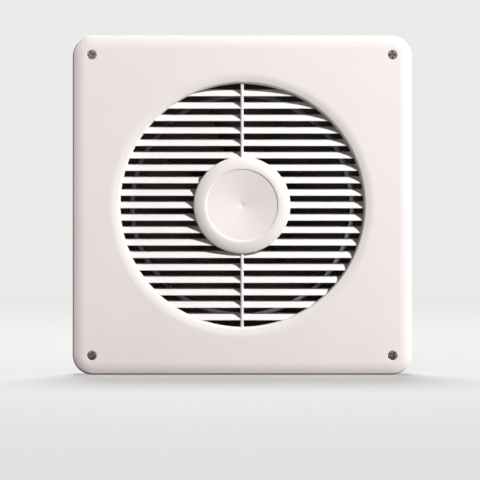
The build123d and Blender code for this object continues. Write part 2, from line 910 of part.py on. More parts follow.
with BuildPart() as stator_core:
    with BuildSketch(across(stack_back)):
        Circle(motor_r)
        Circle(stator_bore_r, mode=Mode.SUBTRACT)
    extrude(amount=stack_length)
    with BuildSketch(across(stack_back)):
        add(stud_hole_plan.sketch)
    extrude(amount=stack_length, mode=Mode.SUBTRACT)
finish(stator_core, "stator_core")

with BuildPart() as stator_windings:
    with BuildSketch(Plane.XY) as coil_ends:
        for middle in (stack_front - winding_overhang / 2, stack_back + winding_overhang / 2):
            with Locations(((winding_inner_r + winding_outer_r) / 2, middle)):
                RectangleRounded(winding_outer_r - winding_inner_r, winding_overhang, winding_round_r)
    revolve(axis=Axis.Y)
finish(stator_windings, "stator_windings")

with BuildPart(across(stud_seat)) as motor_studs:
    stud = turned(
        [(0, 0), (stud_r, 0), (stud_r, stud_seat - stud_tip), (0, stud_seat - stud_tip)], "stud"
    )
    with PolarLocations(stud_circle_r, 4, diagonals):
        add(stud)
        add(hexagon(stud_head_r, stud_head_height))
finish(motor_studs, "motor_studs")

mount = turned(
    [
        (stud_r + running_gap, -mount_rear_flange - bracket_thickness),
        (mount_r, -mount_rear_flange - bracket_thickness),
        (mount_r, -bracket_thickness),
        (mount_neck_r, -bracket_thickness),
        (mount_neck_r, 0),
        (mount_r, 0),
        (mount_r, mount_front_flange),
        (stud_r + running_gap, mount_front_flange),
    ],
    "mount",
)
with BuildPart(across(bracket_front)) as motor_mounts:
    with PolarLocations(stud_circle_r, 4, diagonals):
        add(mount)
finish(motor_mounts, "motor_mounts")

with BuildPart(behind(mount_back)) as stud_washers:
    with PolarLocations(stud_circle_r, 4, diagonals):
        add(washer(stud_washer_r, stud_r, stud_washer_thickness))
finish(stud_washers, "stud_washers")

with BuildPart(behind(mount_back + stud_washer_thickness)) as stud_nuts:
    with PolarLocations(stud_circle_r, 4, diagonals):
        add(hexagon(small_nut_r, small_nut_height, stud_r))
finish(stud_nuts, "stud_nuts")


# Motor bracket: flat disc and four arms, with the arms' edges folded forwards
with BuildPart() as motor_bracket:
    with BuildSketch(across(bracket_back)) as bracket_plan:
        Circle(bracket_disc_r)
        with PolarLocations(0, 2, diagonals, 180):
            Rectangle(2 * tube_bore_r, arm_width)
        inner_corners = bracket_plan.vertices().filter_by(
            lambda corner: abs(Vector(corner.X, corner.Y).length - bracket_disc_r) < 0.1
        )
        fillet(inner_corners, arm_root_r)
        Circle(tube_bore_r - bracket_fit, mode=Mode.INTERSECT)
        with PolarLocations(0, 4):
            window_line = CenterArc(
                (0, 0), window_circle_r, -window_half_angle, 2 * window_half_angle, mode=Mode.PRIVATE
            )
            SlotArc(window_line, window_width, mode=Mode.SUBTRACT)
        with PolarLocations(stud_circle_r, 4, diagonals):
            Circle(mount_neck_r + mount_neck_fit, mode=Mode.SUBTRACT)
        with PolarLocations(lug_circle_r, 4, diagonals):
            Circle(bracket_screw_r + bracket_hole_gap, mode=Mode.SUBTRACT)
        with Locations((-box_screw_x, 0), (box_screw_x, 0)):
            Circle(box_screw_r + thread_gap, mode=Mode.SUBTRACT)
        with Locations((lead_x, lead_z)):
            Circle(grommet_flange_r + grommet_wall, mode=Mode.SUBTRACT)
    extrude(amount=bracket_thickness)
    with BuildSketch(across(bracket_front)):
        with PolarLocations((arm_flange_start + arm_flange_end) / 2, 4, diagonals):
            with GridLocations(arm_width, arm_width - arm_flange_wall, 1, 2):
                Rectangle(arm_flange_end - arm_flange_start, arm_flange_wall)
    extrude(amount=arm_flange_height)
finish(motor_bracket, "motor_bracket")

bracket_screw = screw(
    bracket_screw_r, bracket_screw_bite + bracket_thickness, bracket_head_r, bracket_head_height
)
with BuildPart(behind(bracket_back)) as bracket_screws:
    with PolarLocations(lug_circle_r, 4, diagonals):
        add(bracket_screw)
finish(bracket_screws, "bracket_screws")


# Terminal box
post_places = ((-post_x, post_z), (post_x, -post_z))

with BuildPart() as terminal_box:
    with BuildSketch(across(box_open)):
        RectangleRounded(box_width, box_height, box_corner_r)
    extrude(amount=box_depth)
    with BuildSketch(across(box_open)):
        RectangleRounded(box_inner_width, box_inner_height, box_corner_r - box_wall)
    extrude(amount=box_depth - box_wall, mode=Mode.SUBTRACT)
    with BuildSketch(across(box_open - lid_spigot)):
        with Locations(*post_places):
            Circle(lid_post_r)
    extrude(amount=box_depth - box_wall - lid_spigot)
    with BuildSketch(across(box_open - lid_spigot)):
        with Locations(*post_places):
            Circle(lid_screw_r + thread_gap)
    extrude(amount=lid_screw_bite, mode=Mode.SUBTRACT)
    with BuildSketch(across(box_floor)):
        with Locations((-box_screw_x, 0), (box_screw_x, 0)):
            Circle(box_screw_r + lid_fit)
        with Locations((lead_x, lead_z)):
            Circle(lead_r + grommet_wall)
    extrude(amount=box_wall, mode=Mode.SUBTRACT)
    with BuildSketch(Plane.XY.offset(-box_height / 2)):
        with Locations((gland_x, box_middle)):
            Circle(gland_thread_r + gland_fit)
    extrude(amount=box_wall, mode=Mode.SUBTRACT)
finish(terminal_box, "terminal_box")

with BuildPart() as terminal_box_lid:
    with BuildSketch(across(box_open + lid_thickness)):
        RectangleRounded(box_width, box_height, box_corner_r)
    extrude(amount=lid_thickness)
    with BuildSketch(across(box_open)):
        RectangleRounded(lid_inner_width, lid_inner_height, box_corner_r - box_wall)
        RectangleRounded(
            lid_inner_width - 2 * box_wall, lid_inner_height - 2 * box_wall, past, mode=Mode.SUBTRACT
        )
        with Locations(*post_places):
            Circle(lid_post_r)
    extrude(amount=lid_spigot - lid_fit)
    with BuildSketch(across(box_open + lid_thickness)):
        with Locations(*post_places):
            Circle(lid_screw_r + lid_fit)
    extrude(amount=lid_thickness + lid_spigot, mode=Mode.SUBTRACT)
finish(terminal_box_lid, "terminal_box_lid")

lid_screw = screw(
    lid_screw_r, lid_screw_bite + lid_thickness, lid_head_r, lid_head_height
)
with BuildPart(behind(box_open + lid_thickness)) as lid_screws:
    with Locations(*[(-x, z) for x, z in post_places]):
        add(lid_screw)
finish(lid_screws, "lid_screws")

box_screw = screw(box_screw_r, box_wall + 2 * bracket_thickness, box_head_r, lid_head_height)
with BuildPart(behind(box_floor)) as box_screws:
    with Locations((-box_screw_x, 0), (box_screw_x, 0)):
        add(box_screw)
finish(box_screws, "box_screws")

with BuildPart() as terminal_block:
    with BuildSketch(across(box_floor + block_depth)):
        with Locations((block_x, block_z)):
            Rectangle(block_width, block_height)
    extrude(amount=block_depth)
    with BuildSketch(Plane.XY.offset(block_top - block_height)):
        with Locations((block_x, box_floor + block_depth / 2)):
            with GridLocations(block_width / block_ways, block_width, block_ways, 1):
                Circle(block_entry_r)
    extrude(amount=block_height, mode=Mode.SUBTRACT)
    with BuildSketch(across(box_floor + block_depth)):
        with Locations((block_x, block_z)):
            with GridLocations(block_width / block_ways, block_height / 2, block_ways, 2):
                Circle(block_entry_r)
    extrude(amount=block_depth / 2, mode=Mode.SUBTRACT)
finish(terminal_block, "terminal_block")


# Motor lead and its two grommets
with BuildLine() as lead_route:
    FilletPolyline(
        (lead_x, lead_start, lead_z),
        (lead_x, box_floor + block_depth / 2, lead_z),
        (block_x, box_floor + block_depth / 2, lead_z),
        (block_x, box_floor + block_depth / 2, block_top),
        radius=lead_bend_r,
    )
with BuildPart() as motor_lead:
    with BuildSketch(across(lead_start)):
        with Locations((lead_x, lead_z)):
            Circle(lead_r)
    sweep(path=lead_route.wires()[0])
finish(motor_lead, "motor_lead")

with BuildPart() as lead_grommets:
    for wall_front, wall_back in ((shield_back - shield_wall, shield_back), (bracket_back, box_floor)):
        grommet_length = wall_back - wall_front + 2 * grommet_flange
        with BuildSketch(across(wall_back + grommet_flange)):
            with Locations((lead_x, lead_z)):
                Circle(grommet_flange_r)
                Circle(lead_r, mode=Mode.SUBTRACT)
        extrude(amount=grommet_length)
        with BuildSketch(across(wall_back)):
            with Locations((lead_x, lead_z)):
                Circle(grommet_flange_r + grommet_wall)
                Circle(lead_r + grommet_wall, mode=Mode.SUBTRACT)
        extrude(amount=wall_back - wall_front, mode=Mode.SUBTRACT)
finish(lead_grommets, "lead_grommets")


# Cable gland in the terminal box's underside
gland_plane = Plane(origin=(gland_x, box_middle, -box_height / 2), x_dir=(1, 0, 0), z_dir=(0, 0, -1))

with BuildPart(gland_plane) as cable_gland:
    add(hexagon(gland_hex_r, gland_hex_height, gland_bore_r))
    with BuildSketch(gland_plane.offset(-gland_inside)):
        Circle(gland_thread_r)
        Circle(gland_bore_r, mode=Mode.SUBTRACT)
    extrude(amount=gland_inside + gland_hex_height + gland_nut_grip)
finish(cable_gland, "cable_gland")

with BuildPart(gland_plane.offset(-box_wall - gland_locknut_height)) as gland_locknut:
    add(hexagon(gland_hex_r, gland_locknut_height, gland_thread_r))
finish(gland_locknut, "gland_locknut")

with BuildPart() as gland_dome_nut:
    with BuildSketch(gland_plane.offset(gland_hex_height + gland_seat_gap)):
        RegularPolygon(gland_hex_r, 6)
        Circle(gland_thread_r, mode=Mode.SUBTRACT)
    extrude(amount=gland_nut_grip - gland_seat_gap)
    dome = turned(
        [
            (gland_thread_r, 0),
            (gland_flats / 2, 0),
            (gland_flats / 2, gland_dome_height / 3),
            (gland_mouth_r + past, gland_dome_height),
            (gland_mouth_r, gland_dome_height),
            (gland_mouth_r, gland_dome_height - past),
            (gland_thread_r, gland_dome_height / 3),
        ],
        "dome",
    )
    with Locations(gland_plane.offset(gland_hex_height + gland_nut_grip)):
        add(dome)
finish(gland_dome_nut, "gland_dome_nut")

with BuildPart() as gland_seal:
    with BuildSketch(gland_plane.offset(gland_hex_height + gland_nut_grip - seal_length)):
        Circle(gland_bore_r)
        Circle(seal_bore_r, mode=Mode.SUBTRACT)
    extrude(amount=seal_length)
finish(gland_seal, "gland_seal")
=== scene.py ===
"""Looks of the subfloor ventilation fan, dressed over its packed construction model.

Metres throughout. The louvred front faces -Y, the wall lies behind Y = 0 and Z is up.
"""
import json
from math import atan2, cos, hypot, pi, radians, sin, tan

import bmesh
import bpy
from mathutils import Matrix, Vector


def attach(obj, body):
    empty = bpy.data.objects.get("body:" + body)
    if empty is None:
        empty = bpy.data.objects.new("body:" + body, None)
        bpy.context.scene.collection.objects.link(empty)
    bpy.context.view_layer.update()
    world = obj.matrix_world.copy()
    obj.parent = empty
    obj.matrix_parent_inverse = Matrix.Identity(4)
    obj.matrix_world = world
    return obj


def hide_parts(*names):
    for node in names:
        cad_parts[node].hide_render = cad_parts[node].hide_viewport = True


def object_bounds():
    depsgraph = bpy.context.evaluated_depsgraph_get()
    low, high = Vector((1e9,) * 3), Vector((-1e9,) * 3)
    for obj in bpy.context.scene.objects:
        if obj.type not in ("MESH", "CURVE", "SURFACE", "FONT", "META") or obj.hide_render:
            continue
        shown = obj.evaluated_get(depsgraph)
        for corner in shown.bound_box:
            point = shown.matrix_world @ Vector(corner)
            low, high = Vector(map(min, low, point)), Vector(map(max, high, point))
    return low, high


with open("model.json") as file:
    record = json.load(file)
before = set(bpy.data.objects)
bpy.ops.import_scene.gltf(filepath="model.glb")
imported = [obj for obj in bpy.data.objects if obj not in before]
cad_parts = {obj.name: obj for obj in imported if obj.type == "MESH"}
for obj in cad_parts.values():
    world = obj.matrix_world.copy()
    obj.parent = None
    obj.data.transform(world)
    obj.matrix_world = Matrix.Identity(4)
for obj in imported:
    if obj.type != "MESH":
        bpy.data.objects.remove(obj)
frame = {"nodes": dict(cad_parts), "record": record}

construction_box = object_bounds()
mm = 0.001

# Sizes of the construction model that the dressed pieces share, in mm. Depths are measured along Y.
blade_front, blade_end = -21.923, -14.923
blade_count, blade_pitch = 19, 10.6556
ear_circle, ear_front, ear_thickness = 116.1, -18.623, 3
wall_screw_spacing, cover_seat = 257, -24.75
stack_front, stack_r, stack_bore, sheet_pitch, sheet_thickness = 49.5, 45, 22, 0.5, 0.46
coil_levels = {"front": 46, "rear": 71}
stud_circle, stud_head_seat, stud_washer_seat, stud_nut_seat = 38, 39.5, 89, 89.8
impeller_nut_seat = 3.8
flange_screw_circle, flange_front = 110.5, -7
bracket_screw_circle, bracket_back = 90, 86.5
box_width, box_height, box_corner = 60, 34, 3
box_open, lid_back = 108.5, 110.9
lid_screw_places = ((-25, 12), (25, -12))
gland_x, gland_depth, gland_seat = -12, 98.7, -17


def placed(name, data):
    """New object in the scene that holds a mesh, a light or a camera."""
    piece = bpy.data.objects.new(name, data)
    bpy.context.scene.collection.objects.link(piece)
    return piece


def evaluated(piece):
    """Plain mesh of an object with its modifiers worked out."""
    return bpy.data.meshes.new_from_object(piece.evaluated_get(bpy.context.evaluated_depsgraph_get()))


def opened(mesh):
    """Mesh code that starts from a finished mesh."""
    work = bmesh.new()
    work.from_mesh(mesh)
    return work


# Node trees, written as one call per node

class Tree:
    """A node tree under construction: each call adds a node and gives back one of its outputs."""

    def __init__(self, tree):
        self.tree = tree

    def add(self, kind, inputs=None, output=0, **settings):
        node = self.tree.nodes.new(kind)
        for key, value in settings.items():
            setattr(node, key, value)
        for key, value in (inputs or {}).items():
            self.feed(value, node.inputs[key])
        return node.outputs[output]

    def feed(self, value, socket):
        if isinstance(value, bpy.types.NodeSocket):
            self.tree.links.new(value, socket)
        else:
            socket.default_value = value

    def math(self, operation, *values):
        return self.add("ShaderNodeMath", dict(enumerate(values)), operation=operation)

    def vector(self, x=0.0, y=0.0, z=0.0):
        return self.add("ShaderNodeCombineXYZ", {"X": x, "Y": y, "Z": z})

    def parts(self, vector):
        node = self.tree.nodes.new("ShaderNodeSeparateXYZ")
        self.feed(vector, node.inputs[0])
        return node.outputs[0], node.outputs[1], node.outputs[2]


class Shape(Tree):
    """A Geometry Nodes tree with named sizes, which ends in Realize Instances and Set Material."""

    def __init__(self, name, **sizes):
        super().__init__(bpy.data.node_groups.new(name, "GeometryNodeTree"))
        face = self.tree.interface
        face.new_socket("Geometry", in_out="OUTPUT", socket_type="NodeSocketGeometry")
        face.new_socket("Geometry", in_out="INPUT", socket_type="NodeSocketGeometry")
        for label, value in sizes.items():
            kind = "NodeSocketInt" if isinstance(value, int) else "NodeSocketFloat"
            face.new_socket(label.replace("_", " "), in_out="INPUT", socket_type=kind).default_value = value
        face.new_socket("Finish", in_out="INPUT", socket_type="NodeSocketMaterial")
        self.inputs = self.tree.nodes.new("NodeGroupInput").outputs
        self.result = self.tree.nodes.new("NodeGroupOutput")

    def size(self, label):
        return self.inputs[label.replace("_", " ")]

    def join(self, *pieces):
        node = self.tree.nodes.new("GeometryNodeJoinGeometry")
        for piece in reversed(pieces):
            self.tree.links.new(piece, node.inputs[0])
        return node.outputs[0]

    def scaled(self, geometry, scale):
        return self.add("GeometryNodeTransform", {"Geometry": geometry, "Scale": scale})

    def close(self, geometry, crease=radians(32)):
        """Realizes the copies, shades them smooth up to a crease angle and gives them the finish."""
        real = self.add("GeometryNodeRealizeInstances", {"Geometry": geometry})
        welded = self.add("GeometryNodeMergeByDistance", {"Geometry": real, "Distance": 0.002 * mm})
        angle = self.add("GeometryNodeInputMeshEdgeAngle", output="Unsigned Angle")
        sharp = self.math("GREATER_THAN", angle, crease)
        smooth = self.add("GeometryNodeSetShadeSmooth", {"Geometry": welded, "Shade Smooth": True}, domain="FACE")
        edged = self.add("GeometryNodeSetShadeSmooth",
                         {"Geometry": smooth, "Selection": sharp, "Shade Smooth": False}, domain="EDGE")
        painted = self.add("GeometryNodeSetMaterial", {"Geometry": edged, "Material": self.inputs["Finish"]})
        self.tree.links.new(painted, self.result.inputs[0])
        return self


def grow(name, shape, slot, replaces=(), start=None, look=None, **sizes):
    """Runs a Geometry Nodes shape on a starting mesh and keeps the result as a plain mesh on the fan's body.

    Its finish is its slot's, unless it has a look of its own.
    """
    piece = placed(name, start or bpy.data.meshes.new(name))
    modifier = piece.modifiers.new("shape", "NODES")
    modifier.node_group = shape.tree
    names = {item.name: item.identifier for item in shape.tree.interface.items_tree if item.in_out == "INPUT"}
    modifier[names["Finish"]] = finishes[look or slot]
    for label, value in sizes.items():
        modifier[names[label.replace("_", " ")]] = value
    piece.data = evaluated(piece)
    piece.modifiers.clear()
    piece.data.name = name
    settle(piece, "fan_body", replaces)


def settle(piece, body, replaces=()):
    """Puts a finished piece on its body and hides the solids that it stands for."""
    work = opened(piece.data)
    bmesh.ops.remove_doubles(work, verts=work.verts, dist=0.001 * mm)
    bmesh.ops.recalc_face_normals(work, faces=work.faces)
    work.to_mesh(piece.data)
    work.free()
    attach(piece, body)
    if replaces:
        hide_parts(*replaces)


# Finishes

finishes = {}


def finish(name, colour, roughness, metal=0.0, **shader):
    """Starts a material: its tree, its surface shader and the place on the piece in Object coordinates."""
    packed = bpy.data.materials.get(name)
    if packed:
        packed.name = name + "_packed"
    material = finishes[name] = bpy.data.materials.new(name)
    material.use_nodes = True
    tree = Tree(material.node_tree)
    surface = material.node_tree.nodes["Principled BSDF"]
    surface.inputs["Base Color"].default_value = (*colour, 1)
    surface.inputs["Roughness"].default_value = roughness
    surface.inputs["Metallic"].default_value = metal
    for key, value in shader.items():
        surface.inputs[key.replace("_", " ")].default_value = value
    place = tree.add("ShaderNodeTexCoord", output="Object")
    material.diffuse_color = (*colour, 1)
    return tree, surface, place


def noise(tree, place, size, detail=3.0, roughness=0.55, stretch=None):
    """Noise whose features are about one size across, in metres; stretch makes them longer along an axis."""
    if stretch:
        place = tree.add("ShaderNodeMapping", {"Vector": place, "Scale": stretch})
    return tree.add("ShaderNodeTexNoise",
                    {"Vector": place, "Scale": 1 / size, "Detail": detail, "Roughness": roughness})


def spread(tree, value, low, high, old_low=0.3, old_high=0.7):
    """Maps a value from one range to another and holds it inside."""
    return tree.add("ShaderNodeMapRange",
                    {"Value": value, "From Min": old_low, "From Max": old_high, "To Min": low, "To Max": high})


def tint(tree, surface, factor, dark, light):
    """Colour that varies between two tones."""
    node = tree.tree.nodes.new("ShaderNodeMix")
    node.data_type = "RGBA"
    tree.feed(factor, node.inputs["Factor"])
    node.inputs["A"].default_value = (*dark, 1)
    node.inputs["B"].default_value = (*light, 1)
    tree.feed(node.outputs["Result"], surface.inputs["Base Color"])


def relief(tree, surface, *layers, edge=0.3 * mm):
    """Bumps laid over each other, each a height map, its depth and its strength, on softly rounded edges."""
    normal = tree.add("ShaderNodeBevel", {"Radius": edge}, samples=6)
    for height, depth, strength in layers:
        normal = tree.add("ShaderNodeBump",
                          {"Height": height, "Distance": depth, "Strength": strength, "Normal": normal})
    tree.feed(normal, surface.inputs["Normal"])


def moulded_plastic(name, colour, shade, roughness, **shader):
    """Injection-moulded plastic: fine spark-eroded grain, slow waves from shrinkage and faint handling marks."""
    grain, grain_depth = 0.45 * mm, 0.012 * mm
    tree, surface, place = finish(name, colour, roughness, **shader)
    cloud = noise(tree, place, 60 * mm, detail=2)
    tint(tree, surface, spread(tree, cloud, 0, 1),
         [c * (1 - shade) for c in colour], [min(c * (1 + shade), 1) for c in colour])
    pits = noise(tree, place, grain, detail=2)
    waves = noise(tree, place, 35 * mm, detail=1)
    scuffs = noise(tree, place, 5 * mm, detail=6, roughness=0.75)
    tree.feed(spread(tree, scuffs, roughness - 0.05, roughness + 0.06), surface.inputs["Roughness"])
    relief(tree, surface, (waves, 0.15 * mm, 0.25), (pits, grain_depth, 0.6))


def worked_metal(name, colour, roughness=0.35, shade=0.12, streak=(1, 1, 1), grain=0.5 * mm, depth=0.008 * mm,
                 spot=4 * mm):
    """Metal with tool marks, blotches in its surface and a little tarnish."""
    tree, surface, place = finish(name, colour, roughness, metal=1.0)
    blotch = noise(tree, place, spot, detail=5, roughness=0.65)
    tint(tree, surface, spread(tree, blotch, 0, 1),
         [c * (1 - shade) for c in colour], [min(c * (1 + shade), 1) for c in colour])
    marks = noise(tree, place, grain, detail=4, stretch=streak)
    tree.feed(spread(tree, blotch, roughness - 0.1, roughness + 0.12), surface.inputs["Roughness"])
    relief(tree, surface, (marks, depth, 0.7), edge=0.2 * mm)


def galvanised_sheet(name):
    """Hot-dipped sheet: spangles of differing tone and gloss, each a grain of zinc."""
    tree, surface, place = finish(name, (0.62, 0.63, 0.64), 0.4, metal=1.0)
    warp = noise(tree, place, 6 * mm, detail=2)
    shift = tree.add("ShaderNodeVectorMath", {0: place, 1: warp, 2: (3 * mm,) * 3}, operation="MULTIPLY_ADD")
    cells = tree.add("ShaderNodeTexVoronoi", {"Vector": shift, "Scale": 1 / (5 * mm)}, output="Color")
    tone = tree.add("ShaderNodeSeparateColor", {"Color": cells})
    tint(tree, surface, spread(tree, tone, 0, 1, 0, 1), (0.5, 0.51, 0.53), (0.72, 0.73, 0.73))
    tree.feed(spread(tree, tone, 0.3, 0.5, 0, 1), surface.inputs["Roughness"])
    relief(tree, surface, (noise(tree, place, 1.2 * mm), 0.01 * mm, 0.5), edge=0.4 * mm)


def banded(name, colour, pitch, depth, metal=0.0, roughness=0.5):
    """A surface made of many thin turns or sheets laid side by side along the fan's axis."""
    tree, surface, place = finish(name, colour, roughness, metal=metal)
    bands = tree.add("ShaderNodeTexWave",
                     {"Vector": place, "Scale": 1 / pitch / 10, "Distortion": 0.4, "Detail": 1.0, "Detail Scale": 2.0},
                     output="Fac", wave_type="BANDS", bands_direction="Y")
    tint(tree, surface, bands, [c * 0.55 for c in colour], colour)
    relief(tree, surface, (bands, depth, 0.8), edge=0.2 * mm)


def soft_rubber(name, colour, roughness=0.65, grain=0.6 * mm, depth=0.02 * mm, cells=False):
    """Rubber or foam, with dust in its pores."""
    tree, surface, place = finish(name, colour, roughness)
    dust = noise(tree, place, 3 * mm, detail=6, roughness=0.7)
    tint(tree, surface, spread(tree, dust, 0, 1), colour, [c * 1.7 + 0.012 for c in colour])
    if cells:
        pores = tree.add("ShaderNodeTexVoronoi", {"Vector": place, "Scale": 1 / grain}, output="Distance")
    else:
        pores = noise(tree, place, grain)
    relief(tree, surface, (pores, depth, 0.8), edge=0.5 * mm)


moulded_plastic("cover_plastic", (0.865, 0.797, 0.77), shade=0.012, roughness=0.42)
# The blades' plastic is the cover's white plastic made darker: painted shade that holds back the blades, which face
# the key lamp more squarely than the cover.
moulded_plastic("louvre_plastic_painted_shade", (0.775, 0.745, 0.735), shade=0.01, roughness=0.42)
# The housing and impeller plastics are dark in their own right. Their warm brown tint and slight lift are painted
# bounce light off the white blades, seen through the louvre gaps.
moulded_plastic("housing_plastic", (0.042, 0.036, 0.029), shade=0.15, roughness=0.7, Specular_IOR_Level=0.15)
moulded_plastic("impeller_plastic", (0.065, 0.051, 0.037), shade=0.15, roughness=0.42)
moulded_plastic("box_plastic", (0.07, 0.07, 0.075), shade=0.12, roughness=0.5)
moulded_plastic("gland_plastic", (0.035, 0.035, 0.035), shade=0.12, roughness=0.4)
moulded_plastic("block_plastic", (0.8, 0.78, 0.72), shade=0.05, roughness=0.4)
worked_metal("screw_steel", (0.33, 0.28, 0.24), roughness=0.26, shade=0.8, depth=0.05 * mm, spot=1.3 * mm)
worked_metal("plated_steel", (0.6, 0.59, 0.56), roughness=0.32)
worked_metal("ground_steel", (0.62, 0.62, 0.62), roughness=0.25, streak=(1, 12, 1))
worked_metal("cast_aluminium", (0.66, 0.67, 0.68), roughness=0.45, grain=1.2 * mm, depth=0.03 * mm)
worked_metal("bearing_bronze", (0.56, 0.38, 0.2), roughness=0.45)
galvanised_sheet("bracket_steel")
banded("lamination_steel", (0.22, 0.22, 0.235), sheet_pitch * mm, 0.1 * mm, metal=0.9, roughness=0.45)
banded("winding_copper", (0.62, 0.27, 0.12), 0.7 * mm, 0.2 * mm, metal=0.9, roughness=0.3)
soft_rubber("mount_rubber", (0.018, 0.018, 0.018))
soft_rubber("gasket_foam", (0.03, 0.03, 0.032), roughness=0.85, grain=0.9 * mm, depth=0.1 * mm, cells=True)
soft_rubber("lead_sheath", (0.02, 0.02, 0.02), roughness=0.5)

slot_of = {row["node"]: row["material_slot"] for row in frame["record"]["subparts"]}
for name, piece in frame["nodes"].items():
    for holder in piece.material_slots:
        holder.material = finishes[slot_of[name]]


# Mesh code for single pieces: everything is turned or cut about the fan's axis, Y

def rounded(outline, steps=4):
    """Outline of (x, y) points in which a third number gives a corner its radius."""
    points = []
    for index, (x, y, *corner) in enumerate(outline):
        here = Vector((x, y))
        if not corner:
            points.append(here)
            continue
        back = Vector(outline[index - 1][:2]) - here
        on = Vector(outline[(index + 1) % len(outline)][:2]) - here
        half = back.angle(on) / 2
        reach = min(corner[0] / tan(half), 0.48 * back.length, 0.48 * on.length)
        start = here + back.normalized() * reach
        end = here + on.normalized() * reach
        centre = here + (back.normalized() + on.normalized()).normalized() * reach / cos(half)
        arm_a, arm_b = start - centre, end - centre
        turn = arm_a.angle(arm_b)
        for step in range(steps + 1):
            t = step / steps
            points.append(centre + (arm_a * sin((1 - t) * turn) + arm_b * sin(t * turn)) / sin(turn))
    return points


def point(work, radius, depth, angle=0.0):
    """Adds a point at a radius and a depth in mm and at an angle about Y."""
    return work.verts.new((radius * mm * cos(angle), depth * mm, radius * mm * sin(angle)))


def hexagon(flat, angle):
    """Distance from the middle of a hexagon to its edge at an angle, from the distance to its flats."""
    return flat / cos((angle % (pi / 3)) - pi / 6)


def add_turned(work, outline, segments=64, ring=False):
    """Adds a shape turned about Y from points of (radius, depth) in mm; a ring's outline closes on itself."""
    rows = []
    for radius, depth in outline:
        if radius < 1e-6:
            rows.append([point(work, 0, depth)] * segments)
        else:
            rows.append([point(work, radius, depth, 2 * pi * k / segments) for k in range(segments)])
    for row, following in zip(rows, rows[1:] + (rows[:1] if ring else [])):
        for k in range(segments):
            corners = [row[k - 1], row[k], following[k], following[k - 1]]
            unique = [v for i, v in enumerate(corners) if v not in corners[:i]]
            if len(unique) > 2:
                work.faces.new(unique)


def bridge(work, rows, closed=False):
    """Joins rings of points with four-sided faces, each ring to the next, and the last to the first if closed."""
    for low, high in zip(rows, rows[1:] + (rows[:1] if closed else [])):
        for k in range(len(low)):
            work.faces.new((low[k - 1], low[k], high[k], high[k - 1]))


def add_thread(work, root, crest, pitch, start, end, per_turn=20):
    """Adds a screw thread: a ridge wound round Y from one depth to another, all in mm."""
    count = int((end - start) / pitch * per_turn)
    fade = 0.8 * per_turn
    rows = []
    for k in range(count + 1):
        angle = 2 * pi * k / per_turn
        along = start + (end - start) * k / count
        height = root + (crest - root) * min(k / fade, (count - k) / fade, 1.0)
        section = ((root - 0.1, -0.42), (root, -0.4), (height, -0.06),
                   (height, 0.06), (root, 0.4), (root - 0.1, 0.42))
        rows.append([point(work, radius, along + share * pitch, angle) for radius, share in section])
    bridge(work, rows)
    work.faces.new(rows[0])
    work.faces.new(reversed(rows[-1]))


def made(name, work):
    """Turns mesh code into a mesh with its faces outwards."""
    bmesh.ops.remove_doubles(work, verts=work.verts, dist=0.001 * mm)
    bmesh.ops.recalc_face_normals(work, faces=work.faces)
    mesh = bpy.data.meshes.new(name)
    work.to_mesh(mesh)
    work.free()
    return mesh


def cut(mesh, tool):
    """Takes the space of a tool out of a mesh, and opens the result as mesh code."""
    whole, cutter = placed("whole", mesh), placed("cutter", tool)
    difference = whole.modifiers.new("cut", "BOOLEAN")
    difference.solver = "EXACT"
    difference.object = cutter
    work = opened(evaluated(whole))
    for piece in (whole, cutter):
        bpy.data.objects.remove(piece)
    return work


def cross_recess(reach, width, depth, level):
    """Tool for a cross-head recess: four wings that narrow to a blunt point, sunk below a level."""
    work = bmesh.new()
    rows = []
    for far, half, y in ((reach * 1.1, width * 0.53, level - 0.3), (reach * 0.45, width * 0.3, level + depth)):
        corners = []
        for quarter in range(4):
            for a, b in ((far, -half), (far, half), (half, half)):
                turn = Matrix.Rotation(quarter * pi / 2, 2)
                flat = turn @ Vector((a, b))
                corners.append(work.verts.new((flat.x * mm, y * mm, flat.y * mm)))
        rows.append(corners)
    bridge(work, rows)
    work.faces.new(rows[0])
    work.faces.new(rows[1])
    return made("recess", work)


def pan_screw(head, height, shank, length, pitch):
    """Pan-head screw that stands on Y = 0 with its head towards -Y, sizes in mm."""
    work = bmesh.new()
    outline = rounded([(0, -height), (head * 0.55, -height, 3), (head * 0.97, -height * 0.5, height * 0.4),
                       (head, 0, 0.15), (shank, 0), (shank, length - shank, 0.3), (0, length)], steps=3)
    add_turned(work, outline, segments=40)
    work = cut(made("pan_head", work), cross_recess(head * 0.52, head * 0.27, height * 0.75, -height))
    add_thread(work, shank, shank * 1.04, pitch, 0.4, length - shank)
    return made("pan_screw", work)


def wall_screw():
    """Countersunk screw, its flat head at Y = 0, with a coarse thread over the part in the wall."""
    work = bmesh.new()
    head, shank, length = 4.1, 1.9, 50
    outline = rounded([(0, 0), (head, 0, 0.15), (head, 0.25, 0.1), (shank, 2.4, 1.2), (shank, 45, 0.5), (0, length)],
                      steps=3)
    add_turned(work, outline, segments=56)
    work = cut(made("flat_head", work), cross_recess(3.0, 1.35, 2.2, 0))
    add_thread(work, shank - 0.3, 2.1, pitch=1.9, start=25.6, end=46.5)
    return made("wall_screw", work)


def nut(corner, height, bore):
    """Hexagon nut that stands on Y = 0 and rises towards -Y, its corners turned off at both ends."""
    segments = 48
    flat = corner * cos(pi / 6)
    face_r = flat * 0.96
    work = bmesh.new()
    rows = [[] for _ in range(6)]
    for k in range(segments):
        angle = 2 * pi * k / segments
        across = hexagon(flat, angle)
        drop = (across - face_r) * tan(radians(30))
        section = ((bore, 0), (face_r, 0), (across, -drop), (across, drop - height), (face_r, -height),
                   (bore, -height))
        for row, (radius, depth) in zip(rows, section):
            row.append(point(work, radius, depth, angle))
    bridge(work, rows, closed=True)
    return made("nut", work)


